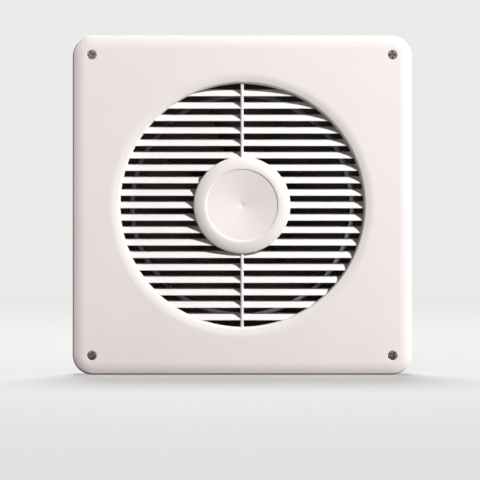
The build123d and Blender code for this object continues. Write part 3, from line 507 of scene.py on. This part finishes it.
def motor_stud():
    """Long stud that points to +Y from Y = 0, with a hexagon head and a fine thread at its far end."""
    shank, root, crest, thread_start, length = 1.9, 1.78, 2.0, 40, 55.5
    work = opened(nut(3.8, 3.0, 0.6))
    outline = rounded([(0, -0.6), (shank, -0.6), (shank, thread_start), (root, thread_start + 0.4),
                       (root, length - 0.5, 0.4), (0, length)], steps=3)
    add_turned(work, outline, segments=28)
    head_dimple = [(0, -2.6), (1.0, -2.6), (1.0, -0.2), (0, -0.2)]
    add_turned(work, head_dimple, segments=16)
    add_thread(work, root, crest, pitch=0.7, start=thread_start + 0.5, end=length - 0.6, per_turn=16)
    return made("stud", work)


def pressed_washer(outer, bore, thickness):
    """Washer that stands on Y = 0 and rises towards +Y, its punched edge rounded on one side."""
    work = bmesh.new()
    add_turned(work, rounded([(bore, 0, 0.08), (outer, 0, 0.25), (outer, thickness, 0.08), (bore, thickness, 0.2)],
                             steps=3), segments=48, ring=True)
    return made("washer", work)


def shifted(mesh, depth):
    """Mesh moved along the fan's axis by a depth in mm."""
    mesh.transform(Matrix.Translation((0, depth * mm, 0)))
    return mesh


def circle(radius, count, x=0.0, z=0.0):
    """Evenly spaced points (x, z) on a circle, in mm."""
    return [(x + radius * cos(2 * pi * k / count), z + radius * sin(2 * pi * k / count)) for k in range(count)]


def add_plate(work, loops, front, thickness, spin=Matrix()):
    """Adds a flat plate that is drawn by loops of points (x, z) in mm, of which the later ones are its holes."""
    edges = []
    for loop in loops:
        corners = [work.verts.new(spin @ Vector((x * mm, front * mm, z * mm))) for x, z in loop]
        edges += [work.edges.new((corners[k - 1], corners[k])) for k in range(len(corners))]
    filled = bmesh.ops.triangle_fill(work, edges=edges, use_beauty=True)["geom"]
    faces = [part for part in filled if isinstance(part, bmesh.types.BMFace)]
    lifted = bmesh.ops.extrude_face_region(work, geom=faces, use_keep_orig=True)["geom"]
    bmesh.ops.translate(work, verts=[part for part in lifted if isinstance(part, bmesh.types.BMVert)],
                        vec=(0, thickness * mm, 0))


def punched_sheet(outer, bore, thickness):
    """One sheet of the stack: a ring with keyed edge notches and the four stud holes."""
    notch, hole_r = 0.5, 2.1
    rim = [(x * (1 - notch / outer), z * (1 - notch / outer)) if k % 36 in (0, 1) else (x, z)
           for k, (x, z) in enumerate(circle(outer, 144))]
    stud = stud_circle * cos(pi / 4)
    holes = [circle(hole_r, 16, x, z) for x, z in ((stud, stud), (-stud, stud), (-stud, -stud), (stud, -stud))]
    work = bmesh.new()
    add_plate(work, [rim, circle(bore, 72)] + holes, 0, thickness)
    return made("sheet", work)


# Shapes by rule, made with Geometry Nodes

def fastener_ring():
    """Copies of one fastener round a circle about the fan's axis, each turned to its own chance angle."""
    shape = Shape("fastener ring", count=4, circle=0.1, first_angle=0.0, level=0.0, half_turns=0)
    size, math, vector = shape.size, shape.math, shape.vector
    share = math("DIVIDE", shape.add("GeometryNodeInputIndex"), size("count"))
    angle = math("ADD", math("MULTIPLY", share, 2 * pi), size("first_angle"))
    spots = shape.add("GeometryNodePoints", {
        "Count": size("count"),
        "Position": vector(math("MULTIPLY", math("COSINE", angle), size("circle")), size("level"),
                           math("MULTIPLY", math("SINE", angle), size("circle")))})
    chance = shape.add("FunctionNodeRandomValue", {2: 0.0, 3: 2 * pi, "Seed": 7}, output=1)
    copies = shape.add("GeometryNodeInstanceOnPoints",
                       {"Points": spots, "Instance": shape.inputs["Geometry"],
                        "Rotation": vector(0, chance, math("MULTIPLY", size("half_turns"), pi))})
    return shape.close(copies)


def louvres():
    """Fixed blades of a curved section between two circles, on both sides of an upright bar."""
    shape = Shape("louvres", count=blade_count, pitch=blade_pitch * mm, rise=6.7 * mm,
                  depth=(blade_end - blade_front) * mm, nose=0.8 * mm, back=1.8 * mm, camber=0.62 * mm,
                  corner=0.28 * mm, front=blade_front * mm, rim=104.35 * mm, hub=39.6 * mm, bar=2.8 * mm,
                  bar_nose=1.0 * mm, lift=0.4 * mm)
    size, math, vector = shape.size, shape.math, shape.vector
    end = math("ADD", size("front"), size("depth"))
    half = math("DIVIDE", size("rise"), 2.0)
    low = math("MULTIPLY", half, -1.0)

    # one blade's section, low at the front and bowed upwards between its two edges
    section = shape.add("GeometryNodeCurvePrimitiveQuadrilateral", {
        "Point 1": vector(size("front"), low), "Point 2": vector(end, math("SUBTRACT", half, size("back"))),
        "Point 3": vector(end, half), "Point 4": vector(size("front"), math("ADD", low, size("nose")))}, mode="POINTS")
    eased = shape.add("GeometryNodeFilletCurve",
                      {"Curve": section, "Count": 3, "Radius": size("corner"), "Limit Radius": True}, mode="POLY")
    fine = shape.add("GeometryNodeSubdivideCurve", {"Curve": eased, "Cuts": 5})
    here = shape.parts(shape.add("GeometryNodeInputPosition"))[0]
    along = math("DIVIDE", math("SUBTRACT", here, size("front")), size("depth"))
    parabola = math("MULTIPLY", math("MULTIPLY", along, math("SUBTRACT", 1.0, along)), 4.0)
    bow = math("MULTIPLY", parabola, size("camber"))
    slope = math("ARCTAN2", size("rise"), size("depth"))
    shift = vector(math("MULTIPLY", math("MULTIPLY", bow, math("SINE", slope)), -1.0),
                   math("MULTIPLY", bow, math("COSINE", slope)))
    bent = shape.add("GeometryNodeSetPosition", {"Geometry": fine, "Offset": shift})
    run = shape.add("GeometryNodeCurvePrimitiveLine", {"Start": (0, 0, 0), "End": (0, 0, 1)})
    prism = shape.add("GeometryNodeCurveToMesh", {"Curve": run, "Profile Curve": bent, "Fill Caps": True})
    px, py, pz = shape.parts(shape.add("GeometryNodeInputPosition"))
    laid = shape.add("GeometryNodeSetPosition", {"Geometry": prism, "Position": vector(pz, px, py)})

    # one over another, then cut to length between the hub, the bar and the rim
    span = math("MULTIPLY", size("pitch"), math("SUBTRACT", size("count"), 1.0))
    lowest = math("ADD", math("MULTIPLY", span, -0.5), size("lift"))
    rows = shape.add("GeometryNodeMeshLine", {
        "Count": size("count"), "Start Location": vector(0, 0, lowest), "Offset": vector(0, 0, size("pitch"))})
    stack = shape.add("GeometryNodeInstanceOnPoints", {"Points": rows, "Instance": laid})
    real = shape.add("GeometryNodeRealizeInstances", {"Geometry": stack})
    qx, qy, qz = shape.parts(shape.add("GeometryNodeInputPosition"))

    def chord(radius, height, least):
        rest = math("SUBTRACT", math("MULTIPLY", radius, radius), math("MULTIPLY", height, height))
        return math("MAXIMUM", math("SQRT", math("MAXIMUM", rest, 0.0)), least)

    near = chord(size("hub"), qz, math("MULTIPLY", size("bar"), 0.4))
    far = chord(size("rim"), qz, 0.0)
    reach = math("ADD", near, math("MULTIPLY", qx, math("SUBTRACT", far, near)))
    right = shape.add("GeometryNodeSetPosition", {"Geometry": real, "Position": vector(reach, qy, qz)})
    left = shape.add("GeometryNodeFlipFaces", {"Mesh": shape.scaled(right, (-1, 1, 1))})

    # the upright bar, with a rounded nose, from the hub to the rim
    edge = shape.add("GeometryNodeCurvePrimitiveQuadrilateral", {"Width": size("bar"), "Height": size("depth")})
    front_corner = math("LESS_THAN", shape.parts(shape.add("GeometryNodeInputPosition"))[1], 0.0)
    radius = math("ADD", math("MULTIPLY", front_corner, math("SUBTRACT", size("bar_nose"), size("corner"))),
                  size("corner"))
    nosed = shape.add("GeometryNodeFilletCurve",
                      {"Curve": edge, "Count": 5, "Radius": radius, "Limit Radius": True}, mode="POLY")
    post = shape.add("GeometryNodeCurveToMesh", {"Curve": run, "Profile Curve": nosed, "Fill Caps": True})
    bx, by, bz = shape.parts(shape.add("GeometryNodeInputPosition"))
    low_end, high_end = chord(size("hub"), bx, 0.0), chord(size("rim"), bx, 0.0)
    height = math("ADD", low_end, math("MULTIPLY", bz, math("SUBTRACT", high_end, low_end)))
    centre = math("ADD", size("front"), math("DIVIDE", size("depth"), 2.0))
    upper = shape.add("GeometryNodeSetPosition",
                      {"Geometry": post, "Position": vector(bx, math("ADD", by, centre), height)})
    lower = shape.add("GeometryNodeFlipFaces", {"Mesh": shape.scaled(upper, (1, 1, -1))})
    return shape.close(shape.join(right, left, upper, lower, shape.inputs["Geometry"]))


def sheet_stack():
    """A stack of punched sheets, each turned out by the press a little differently."""
    shape = Shape("sheet stack", count=36, pitch=sheet_pitch * mm, front=stack_front * mm, burr=0.0012)
    size, vector = shape.size, shape.vector
    rows = shape.add("GeometryNodeMeshLine", {
        "Count": size("count"), "Start Location": vector(0, size("front"), 0), "Offset": vector(0, size("pitch"), 0)})
    least = shape.math("SUBTRACT", 1.0, size("burr"))
    swell = shape.add("FunctionNodeRandomValue", {2: least, 3: 1.0, "Seed": 5}, output=1)
    sheets = shape.add("GeometryNodeInstanceOnPoints",
                       {"Points": rows, "Instance": shape.inputs["Geometry"], "Scale": vector(swell, 1.0, swell)})
    return shape.close(sheets, crease=radians(60))


def wound_ring():
    """A coil end: wires laid side by side round a bundle, wandering a little, and laced with cord."""
    shape = Shape("wound ring", wires=30, wire=0.46 * mm, middle=27.75 * mm, half_width=3.3 * mm,
                  half_depth=3.05 * mm, corner=2.2 * mm, level=coil_levels["front"] * mm, laces=14, cord=0.5 * mm,
                  lace_swell=1.16, wander=0.35 * mm, waves=5.0, shift=2.4)
    size, math, vector = shape.size, shape.math, shape.vector
    square = shape.add("GeometryNodeCurvePrimitiveQuadrilateral",
                       {"Width": math("MULTIPLY", size("half_width"), 2.0),
                        "Height": math("MULTIPLY", size("half_depth"), 2.0)})
    soft = shape.add("GeometryNodeFilletCurve",
                     {"Curve": square, "Count": 6, "Radius": size("corner"), "Limit Radius": True}, mode="POLY")
    index = shape.add("GeometryNodeInputIndex")
    points = shape.add("GeometryNodeCurveToPoints", {"Curve": soft, "Count": size("wires")}, mode="COUNT")
    run = shape.add("GeometryNodeCurvePrimitiveLine", {"Start": (0, 0, 0), "End": (0, 0, 1)})
    long = shape.add("GeometryNodeResampleCurve", {"Curve": run, "Count": 97})
    section = shape.add("GeometryNodeCurvePrimitiveCircle", {"Resolution": 6, "Radius": size("wire")})
    wire = shape.add("GeometryNodeCurveToMesh", {"Curve": long, "Profile Curve": section})
    laid = shape.add("GeometryNodeInstanceOnPoints", {"Points": points, "Instance": wire})
    numbered = shape.add("GeometryNodeStoreNamedAttribute",
                         {"Geometry": laid, "Name": "wire", "Value": index}, data_type="FLOAT", domain="INSTANCE")
    bundle = shape.add("GeometryNodeRealizeInstances", {"Geometry": numbered})
    core = shape.add("GeometryNodeCurveToMesh", {"Curve": long, "Profile Curve": soft})
    lace_line = shape.add("GeometryNodeMeshLine", {
        "Count": size("laces"), "Start Location": (0, 0, 0),
        "Offset": vector(0, 0, math("DIVIDE", 1.0, size("laces")))})
    cord = shape.add("GeometryNodeCurvePrimitiveCircle", {"Resolution": 6, "Radius": size("cord")})
    loop = shape.add("GeometryNodeCurveToMesh", {
        "Curve": shape.scaled(soft, vector(size("lace_swell"), size("lace_swell"), 1.0)), "Profile Curve": cord})
    per_turn = math("DIVIDE", 1.0, math("MULTIPLY", size("middle"), 2 * pi))
    thin = shape.scaled(loop, vector(1.0, 1.0, per_turn))
    laces = shape.add("GeometryNodeRealizeInstances", {"Geometry": shape.add(
        "GeometryNodeInstanceOnPoints", {"Points": lace_line, "Instance": thin})})

    # the straight bundle, one metre long, is bent into one turn round the fan's axis
    x, y, z = shape.parts(shape.add("GeometryNodeInputPosition"))
    number = shape.add("GeometryNodeInputNamedAttribute", {"Name": "wire"}, data_type="FLOAT")
    turn = math("MULTIPLY", z, 2 * pi)
    phase = math("MULTIPLY", number, size("shift"))
    wave = math("SINE", math("ADD", math("MULTIPLY", turn, size("waves")), phase))
    drift = math("MULTIPLY", math("MULTIPLY", wave, size("wander")), math("MINIMUM", number, 1.0))
    radius = math("ADD", math("ADD", size("middle"), x), drift)
    depth = math("ADD", math("ADD", size("level"), y), math("MULTIPLY", drift, 0.6))
    round_position = vector(math("MULTIPLY", radius, math("COSINE", turn)), depth,
                            math("MULTIPLY", radius, math("SINE", turn)))
    bent = [shape.add("GeometryNodeSetPosition", {"Geometry": part, "Position": round_position})
            for part in (bundle, core, laces)]
    return shape.close(shape.join(*bent, shape.inputs["Geometry"]), crease=radians(70))


# Pieces that stand for plain solids

def ring_frame():
    """The grille's two rings and its four ears with screw holes."""
    work = bmesh.new()
    rim_inside, rim_outside, rim_front, rim_back = 104.2, 110.1, -21.023, -11.056
    add_turned(work, rounded([(rim_inside, rim_front, 0.3), (rim_outside, rim_front, 0.3),
                              (rim_outside, rim_back, 0.5), (rim_inside, rim_back, 0.5)]), segments=160, ring=True)
    hub_inside, hub_outside, hub_front = 38.2, 41.0, -21.9
    add_turned(work, rounded([(hub_inside, hub_front, 0.3), (hub_outside, hub_front, 0.3),
                              (hub_outside, blade_end, 0.4), (hub_inside, blade_end, 0.4)]), segments=96, ring=True)
    for quarter in range(4):
        add_ear(work, radians(45 + 90 * quarter))
    return made("rings", work)


def add_ear(work, angle):
    """Adds one ear: a round-ended tab with a hole, standing out from the rim ring."""
    ear_r, ear_root, hole_r, steps = 5, 108.4, 1.9, 24
    outline = []
    for step in range(steps + 1):
        turn = -pi / 2 + pi * step / steps
        outline.append((ear_circle + ear_r * cos(turn), ear_r * sin(turn)))
    outline += [(ear_root, ear_r), (ear_root, -ear_r)]
    add_plate(work, [outline, circle(hole_r, 20, ear_circle)], ear_front, ear_thickness,
              spin=Matrix.Rotation(-angle, 4, "Y"))


def hub_face():
    """Front cap: a crowned ring round a shallow conical dish, with a soft step and a sprue mark in the middle."""
    crown_r, crown_centre, ring_top = 24.72, 31.9, -24.898
    crown_start, crown_turn = 1.4, 21
    edge_r, edge_centre, edge_depth = 1, 40.4, -22.323
    spigot_outside, spigot_inside, spigot_end = 38.05, 35.85, -16.923
    sprue_mark = [(0, -22.3), (0.7, -22.32), (1.5, -22.46), (2.3, -22.63), (3.2, -22.733)]
    step_up = [(29.7, -24.27), (30.35, -24.37, 0.3), (30.7, -24.66, 0.25), (31.2, -24.8, 0.5), (32.5, ring_top)]
    points = rounded(sprue_mark + step_up, steps=5)
    for step in range(1, 13):
        turn = radians(crown_start + (crown_turn - crown_start) * step / 12)
        points.append(Vector((crown_centre + crown_r * sin(turn), ring_top + crown_r * (1 - cos(turn)))))
    for step in range(1, 7):
        turn = radians(crown_turn + (90 - crown_turn) * step / 6)
        points.append(Vector((edge_centre + edge_r * sin(turn), edge_depth - edge_r * cos(turn))))
    points += rounded([(edge_centre + edge_r, blade_front, 0.15), (spigot_outside, blade_front, 0.1),
                       (spigot_outside, spigot_end, 0.4), (spigot_inside, spigot_end, 0.3),
                       (spigot_inside, -21.798), (0, -20.048)])
    work = bmesh.new()
    add_turned(work, points, segments=160)
    return made("hub_face", work)


def rounded_box(work, width, height, corner, rows, hole=None):
    """Adds a closed solid from rounded rectangles in X and Z: each row is an inset and a depth along Y, in mm.

    With a hole, which is another list of rows, it is a frame that is open through the middle.
    """
    steps = 8

    def loops(rows):
        made_rows = []
        for inset, depth in rows:
            half_w, half_h, radius = width / 2 - inset, height / 2 - inset, max(corner - inset, 0.4)
            ring = []
            for quarter, (side, rise) in enumerate(((1, 1), (-1, 1), (-1, -1), (1, -1))):
                for k in range(steps + 1):
                    turn = pi / 2 * (quarter + k / steps)
                    x = side * (half_w - radius) + radius * cos(turn)
                    z = rise * (half_h - radius) + radius * sin(turn)
                    ring.append(work.verts.new((x * mm, depth * mm, z * mm)))
            made_rows.append(ring)
        return made_rows

    outside = loops(rows)
    if hole:
        bridge(work, outside + loops(hole)[::-1], closed=True)
    else:
        bridge(work, outside)
        work.faces.new(outside[0])
        work.faces.new(outside[-1])


def box_lid():
    """Lid with rounded edges, a sunk plain panel, two screw holes and a spigot that fits inside the box."""
    hole_r, past = 1.5, 0.6
    spigot_outside, spigot_inside, spigot_end = 2.2, 4.2, 107.1
    work = bmesh.new()
    seam = [(0.45, box_open), (0.45, box_open + 0.25), (0, box_open + 0.3)]
    edge = [(0, lid_back - 1), (0.15, lid_back - 0.5), (0.5, lid_back - 0.15), (1, lid_back)]
    panel = [(8.4, lid_back), (8.7, lid_back - 0.3)]
    rounded_box(work, box_width, box_height, box_corner, seam + edge + panel)
    holes = bmesh.new()
    for x, z in lid_screw_places:
        start = len(holes.verts)
        add_turned(holes, [(0, box_open - past), (hole_r, box_open - past), (hole_r, lid_back + past),
                           (0, lid_back + past)], segments=24)
        holes.verts.ensure_lookup_table()
        bmesh.ops.translate(holes, verts=holes.verts[start:], vec=(x * mm, 0, z * mm))
    work = cut(made("plate", work), made("holes", holes))
    seat = box_open + 0.02
    rounded_box(work, box_width, box_height, box_corner, [(spigot_outside, spigot_end), (spigot_outside, seat)],
                hole=[(spigot_inside, spigot_end), (spigot_inside, seat)])
    return made("box_lid", work)


def gland_part(hexagon_from, hexagon_to, tail, bore):
    """Starts a part of the cable gland about Y: a hexagon, then a round tail of (radius, depth) in mm behind it."""
    segments, flat, corner, bevel = 72, 8, 9.1, 0.35
    work = bmesh.new()
    rows = []
    rise = hexagon_to - hexagon_from
    section = [(bore, 0), (flat * 0.96, 0), (None, bevel), (None, rise - bevel), (flat * 0.985, rise)]
    section += [(radius, rise + depth) for radius, depth in tail]
    for radius, depth in section:
        ring = []
        for k in range(segments):
            angle = 2 * pi * k / segments
            across = min(hexagon(flat, angle), corner) if radius is None else radius
            ring.append(point(work, across, hexagon_from + depth, angle))
        rows.append(ring)
    bridge(work, rows, closed=True)
    return work


def seated(work, name):
    """Mesh of a gland part, stood on the terminal box's underside with its axis pointing down."""
    bmesh.ops.rotate(work, verts=work.verts, matrix=Matrix.Rotation(radians(-90), 3, "X"))
    bmesh.ops.translate(work, verts=work.verts, vec=(gland_x * mm, gland_depth * mm, gland_seat * mm))
    return made(name, work)


def gland_body():
    """Gland with its hexagon against the box and a threaded part inside the nut and the box."""
    bore, root, crest, pitch, inner_end = 4.2, 5.75, 6.0, 1.5, -7.4
    work = gland_part(0, 6, [(5.8, 0), (5.8, 8.4), (5.4, 9), (bore, 9)], bore)
    add_turned(work, [(root, inner_end), (root, 0.1), (bore, 0.1), (bore, inner_end)], segments=40, ring=True)
    add_thread(work, root - 0.05, crest, pitch, start=-7.0, end=-2.2, per_turn=32)
    add_thread(work, root, crest, pitch, start=6.6, end=14.0, per_turn=32)
    return seated(work, "gland_body")


def gland_nut():
    """Dome nut: a hexagon, then a dome that closes on a rounded mouth."""
    bore = 6.05
    dome = [(7.9, 0.5), (7.75, 1.6), (7.2, 3.2), (6.3, 4.6), (5.2, 5.6), (4.6, 5.9), (4.1, 5.95), (4.0, 5.7)]
    inside = [(4.0, 5.0), (bore, 2.0), (bore, 0.0)]
    return seated(gland_part(7, 15, dome + inside, bore), "gland_nut")


def put(name, mesh, slot, replaces, body="fan_body", crease=radians(40)):
    """Puts a mesh made by code on its body, in its slot's finish, in place of the solids that it stands for."""
    for face in mesh.polygons:
        face.use_smooth = True
    mesh.set_sharp_from_angle(angle=crease)
    mesh.materials.clear()
    mesh.materials.append(finishes[slot])
    settle(placed(name, mesh), body, replaces)


# The blades wear the darker copy of the cover's plastic, which is painted shade.
grow("louvre_blades", louvres(), "cover_plastic", ["louvre_grille"], ring_frame(), look="louvre_plastic_painted_shade")
put("crowned_hub_cap", hub_face(), "cover_plastic", ["hub_cap"])

fasteners = fastener_ring()
diagonal = pi / 4


def fasten(name, blank, slot, node, circle_r, level, count=4, first=diagonal, backwards=False):
    """Sets copies of a fastener out on their circle, in mm, in place of the node's plain solids."""
    grow(name, fasteners, slot, [node], blank, count=count, circle=circle_r * mm, first_angle=first,
         level=level * mm, half_turns=int(backwards))


fasten("cross_head_wall_screws", wall_screw(), "screw_steel", "wall_screws", wall_screw_spacing / 2 ** 0.5, cover_seat)
fasten("pan_head_grille_screws", pan_screw(3.4, 2.2, 1.75, 7, 1.2), "plated_steel", "grille_screws",
       ear_circle, ear_front + ear_thickness, backwards=True)
fasten("pan_head_flange_screws", pan_screw(2.8, 1.7, 1.5, 5, 1.1), "plated_steel", "flange_screws",
       flange_screw_circle, flange_front, count=8, first=pi / 8)
fasten("pan_head_bracket_screws", pan_screw(3.8, 2.6, 2.0, 9, 1.4), "plated_steel", "bracket_screws",
       bracket_screw_circle, bracket_back, backwards=True)
lid_screw_x, lid_screw_z = lid_screw_places[0]
fasten("pan_head_lid_screws", pan_screw(2.6, 1.8, 1.3, 10.4, 0.9), "plated_steel", "lid_screws",
       hypot(lid_screw_x, lid_screw_z), lid_back, count=2, first=atan2(lid_screw_z, lid_screw_x), backwards=True)
fasten("chamfered_stud_nuts", nut(4.0, 3.2, 1.9), "plated_steel", "stud_nuts", stud_circle, stud_nut_seat,
       backwards=True)
fasten("threaded_motor_studs", motor_stud(), "plated_steel", "motor_studs", stud_circle, stud_head_seat)
fasten("pressed_stud_washers", pressed_washer(4.5, 2.05, 0.8), "plated_steel", "stud_washers", stud_circle,
       stud_washer_seat)
put("chamfered_impeller_nut", shifted(nut(5.5, 5.0, 2.95), impeller_nut_seat), "plated_steel", ["impeller_nut"],
    body="rotor", crease=radians(25))
put("pressed_impeller_washer", shifted(pressed_washer(7.0, 3.0, 1.2), impeller_nut_seat), "plated_steel",
    ["impeller_washer"], body="rotor")
put("sunk_panel_box_lid", box_lid(), "box_plastic", ["terminal_box_lid"])
put("threaded_gland_body", gland_body(), "gland_plastic", ["cable_gland"], crease=radians(30))
put("domed_gland_nut", gland_nut(), "gland_plastic", ["gland_dome_nut"], crease=radians(30))
grow("laminated_stator", sheet_stack(), "lamination_steel", ["stator_core"],
     punched_sheet(stack_r, stack_bore, sheet_thickness))
for end, level in coil_levels.items():
    grow("wound_coil_end_" + end, wound_ring(), "winding_copper", ["stator_windings"] if end == "front" else [],
         level=level * mm)


# Room: floor, light and camera

floor_level = construction_box[0].z


def pale_room(level, rise):
    """Pale world that lights the fan, brighter towards one side, and shows as a plain light grey behind it."""
    world = bpy.data.worlds.new("room")
    bpy.context.scene.world = world
    world.use_nodes = True
    tree = Tree(world.node_tree)
    toward = tree.add("ShaderNodeTexCoord", output="Generated")
    gain = tree.add("ShaderNodeVectorMath", {0: toward, 1: rise}, output="Value", operation="DOT_PRODUCT")
    fill_level = tree.math("MAXIMUM", tree.math("ADD", gain, level), 0.0)
    fill = tree.add("ShaderNodeBackground", {"Color": (1.0, 0.95, 0.88, 1), "Strength": fill_level})
    seen = tree.add("ShaderNodeBackground", {"Color": (*room_grey, 1), "Strength": 1.0})
    path = world.node_tree.nodes.new("ShaderNodeLightPath").outputs
    shown = tree.math("MAXIMUM", tree.math("MAXIMUM", path["Is Camera Ray"], path["Is Glossy Ray"]),
                      path["Is Transmission Ray"])
    both = tree.add("ShaderNodeMixShader", {0: shown, 1: fill, 2: seen})
    tree.feed(both, world.node_tree.nodes["World Output"].inputs["Surface"])


def pale_floor(paint, bounce, glow):
    """Round pale floor that keeps the fan's shadow, fades into the room and throws back less light than it shows."""
    fade_start, fade_end = 0.45, 1.9
    mesh = bpy.data.meshes.new("floor")
    disc = bmesh.new()
    bmesh.ops.create_circle(disc, cap_ends=True, radius=3.0, segments=96,
                            matrix=Matrix.Translation((0, 0, floor_level - 0.1 * mm)))
    disc.to_mesh(mesh)
    disc.free()
    floor = placed("floor", mesh)
    tree, surface, place = finish("floor_paint", (paint, paint, paint), 0.9)
    x, y = tree.parts(place)[:2]
    reach = tree.math("SQRT", tree.math("ADD", tree.math("MULTIPLY", x, x), tree.math("MULTIPLY", y, y)))
    steps = tree.tree.nodes
    shine = tree.add("ShaderNodeEmission", {"Color": (*room_grey, 1), "Strength": glow})
    lit = tree.add("ShaderNodeAddShader", {0: shine, 1: surface.outputs[0]})
    path = steps.new("ShaderNodeLightPath").outputs
    tint(tree, surface, path["Is Camera Ray"], (bounce,) * 3, (paint,) * 3)
    seen = tree.add("ShaderNodeMixShader", {0: path["Is Camera Ray"], 1: surface.outputs[0], 2: lit})
    clear = tree.add("ShaderNodeBsdfTransparent")
    under = tree.add("ShaderNodeNewGeometry", output="Backfacing")
    fade = tree.math("MAXIMUM", spread(tree, reach, 0, 1, fade_start, fade_end), under)
    whole = tree.add("ShaderNodeMixShader", {0: fade, 1: seen, 2: clear})
    tree.feed(whole, steps["Material Output"].inputs["Surface"])
    mesh.materials.append(finishes["floor_paint"])
    return floor


def lamp(name, direction, distance, strength, softness, colour=(1, 1, 1), spares=None, only=None):
    """Round studio lamp that faces the fan, and fills the angle of its softness as seen from there.

    It can spare one object, or light only one.
    """
    light = bpy.data.lights.new(name, "AREA")
    light.shape = "DISK"
    light.size = 2 * distance * tan(softness / 2)
    light.energy = strength * pi * distance ** 2
    light.color = colour
    stand = placed(name, light)
    stand.location = Vector(direction).normalized() * distance
    stand.rotation_euler = Vector(direction).to_track_quat("Z", "Y").to_euler()
    if spares or only:
        linked = bpy.data.collections.new(name + "_links")
        linked.objects.link(spares or only)
        stand.light_linking.receiver_collection = linked
        linked.collection_objects[0].light_linking.link_state = "EXCLUDE" if spares else "INCLUDE"


def front_camera(distance, pixels_per_mm, across, down):
    """Camera square to the cover, with the fan's axis at a given place in the picture, in pixels."""
    picture = 480
    camera = placed("camera", bpy.data.cameras.new("camera"))
    camera.location = (0, construction_box[0].y - distance, 0)
    camera.rotation_euler = (radians(90), 0, 0)
    half_width = picture / 2 / pixels_per_mm * mm
    camera.data.lens = camera.data.sensor_width / 2 * distance / half_width
    camera.data.shift_x = (picture / 2 - across) / picture
    camera.data.shift_y = (down - picture / 2) / picture
    camera.data.clip_end = 30
    bpy.context.scene.camera = camera


room_grey = (0.825, 0.825, 0.825)
pale_room(level=0.085, rise=Vector((0.0, 0.0, 0.02)))
floor = pale_floor(paint=0.4, bounce=0.3, glow=0.485)
lamp("key", (0.695, -0.495, 0.522), distance=3.2, strength=5.3, softness=radians(2), colour=(0.985, 0.99, 1.0),
     spares=floor)
lamp("top", (-0.05, 0.38, 0.92), distance=2.2, strength=0.7, softness=radians(36), spares=floor)
lamp("back", (-0.55, 0.75, 0.4), distance=2.4, strength=2.4, softness=radians(34), spares=floor)
lamp("floor_lamp", (-0.02, 0.4, 0.92), distance=2.2, strength=3.45, softness=radians(26), only=floor)
front_camera(distance=2.2, pixels_per_mm=1.17, across=242, down=205.2)
bpy.context.scene.view_settings.view_transform = "Standard"
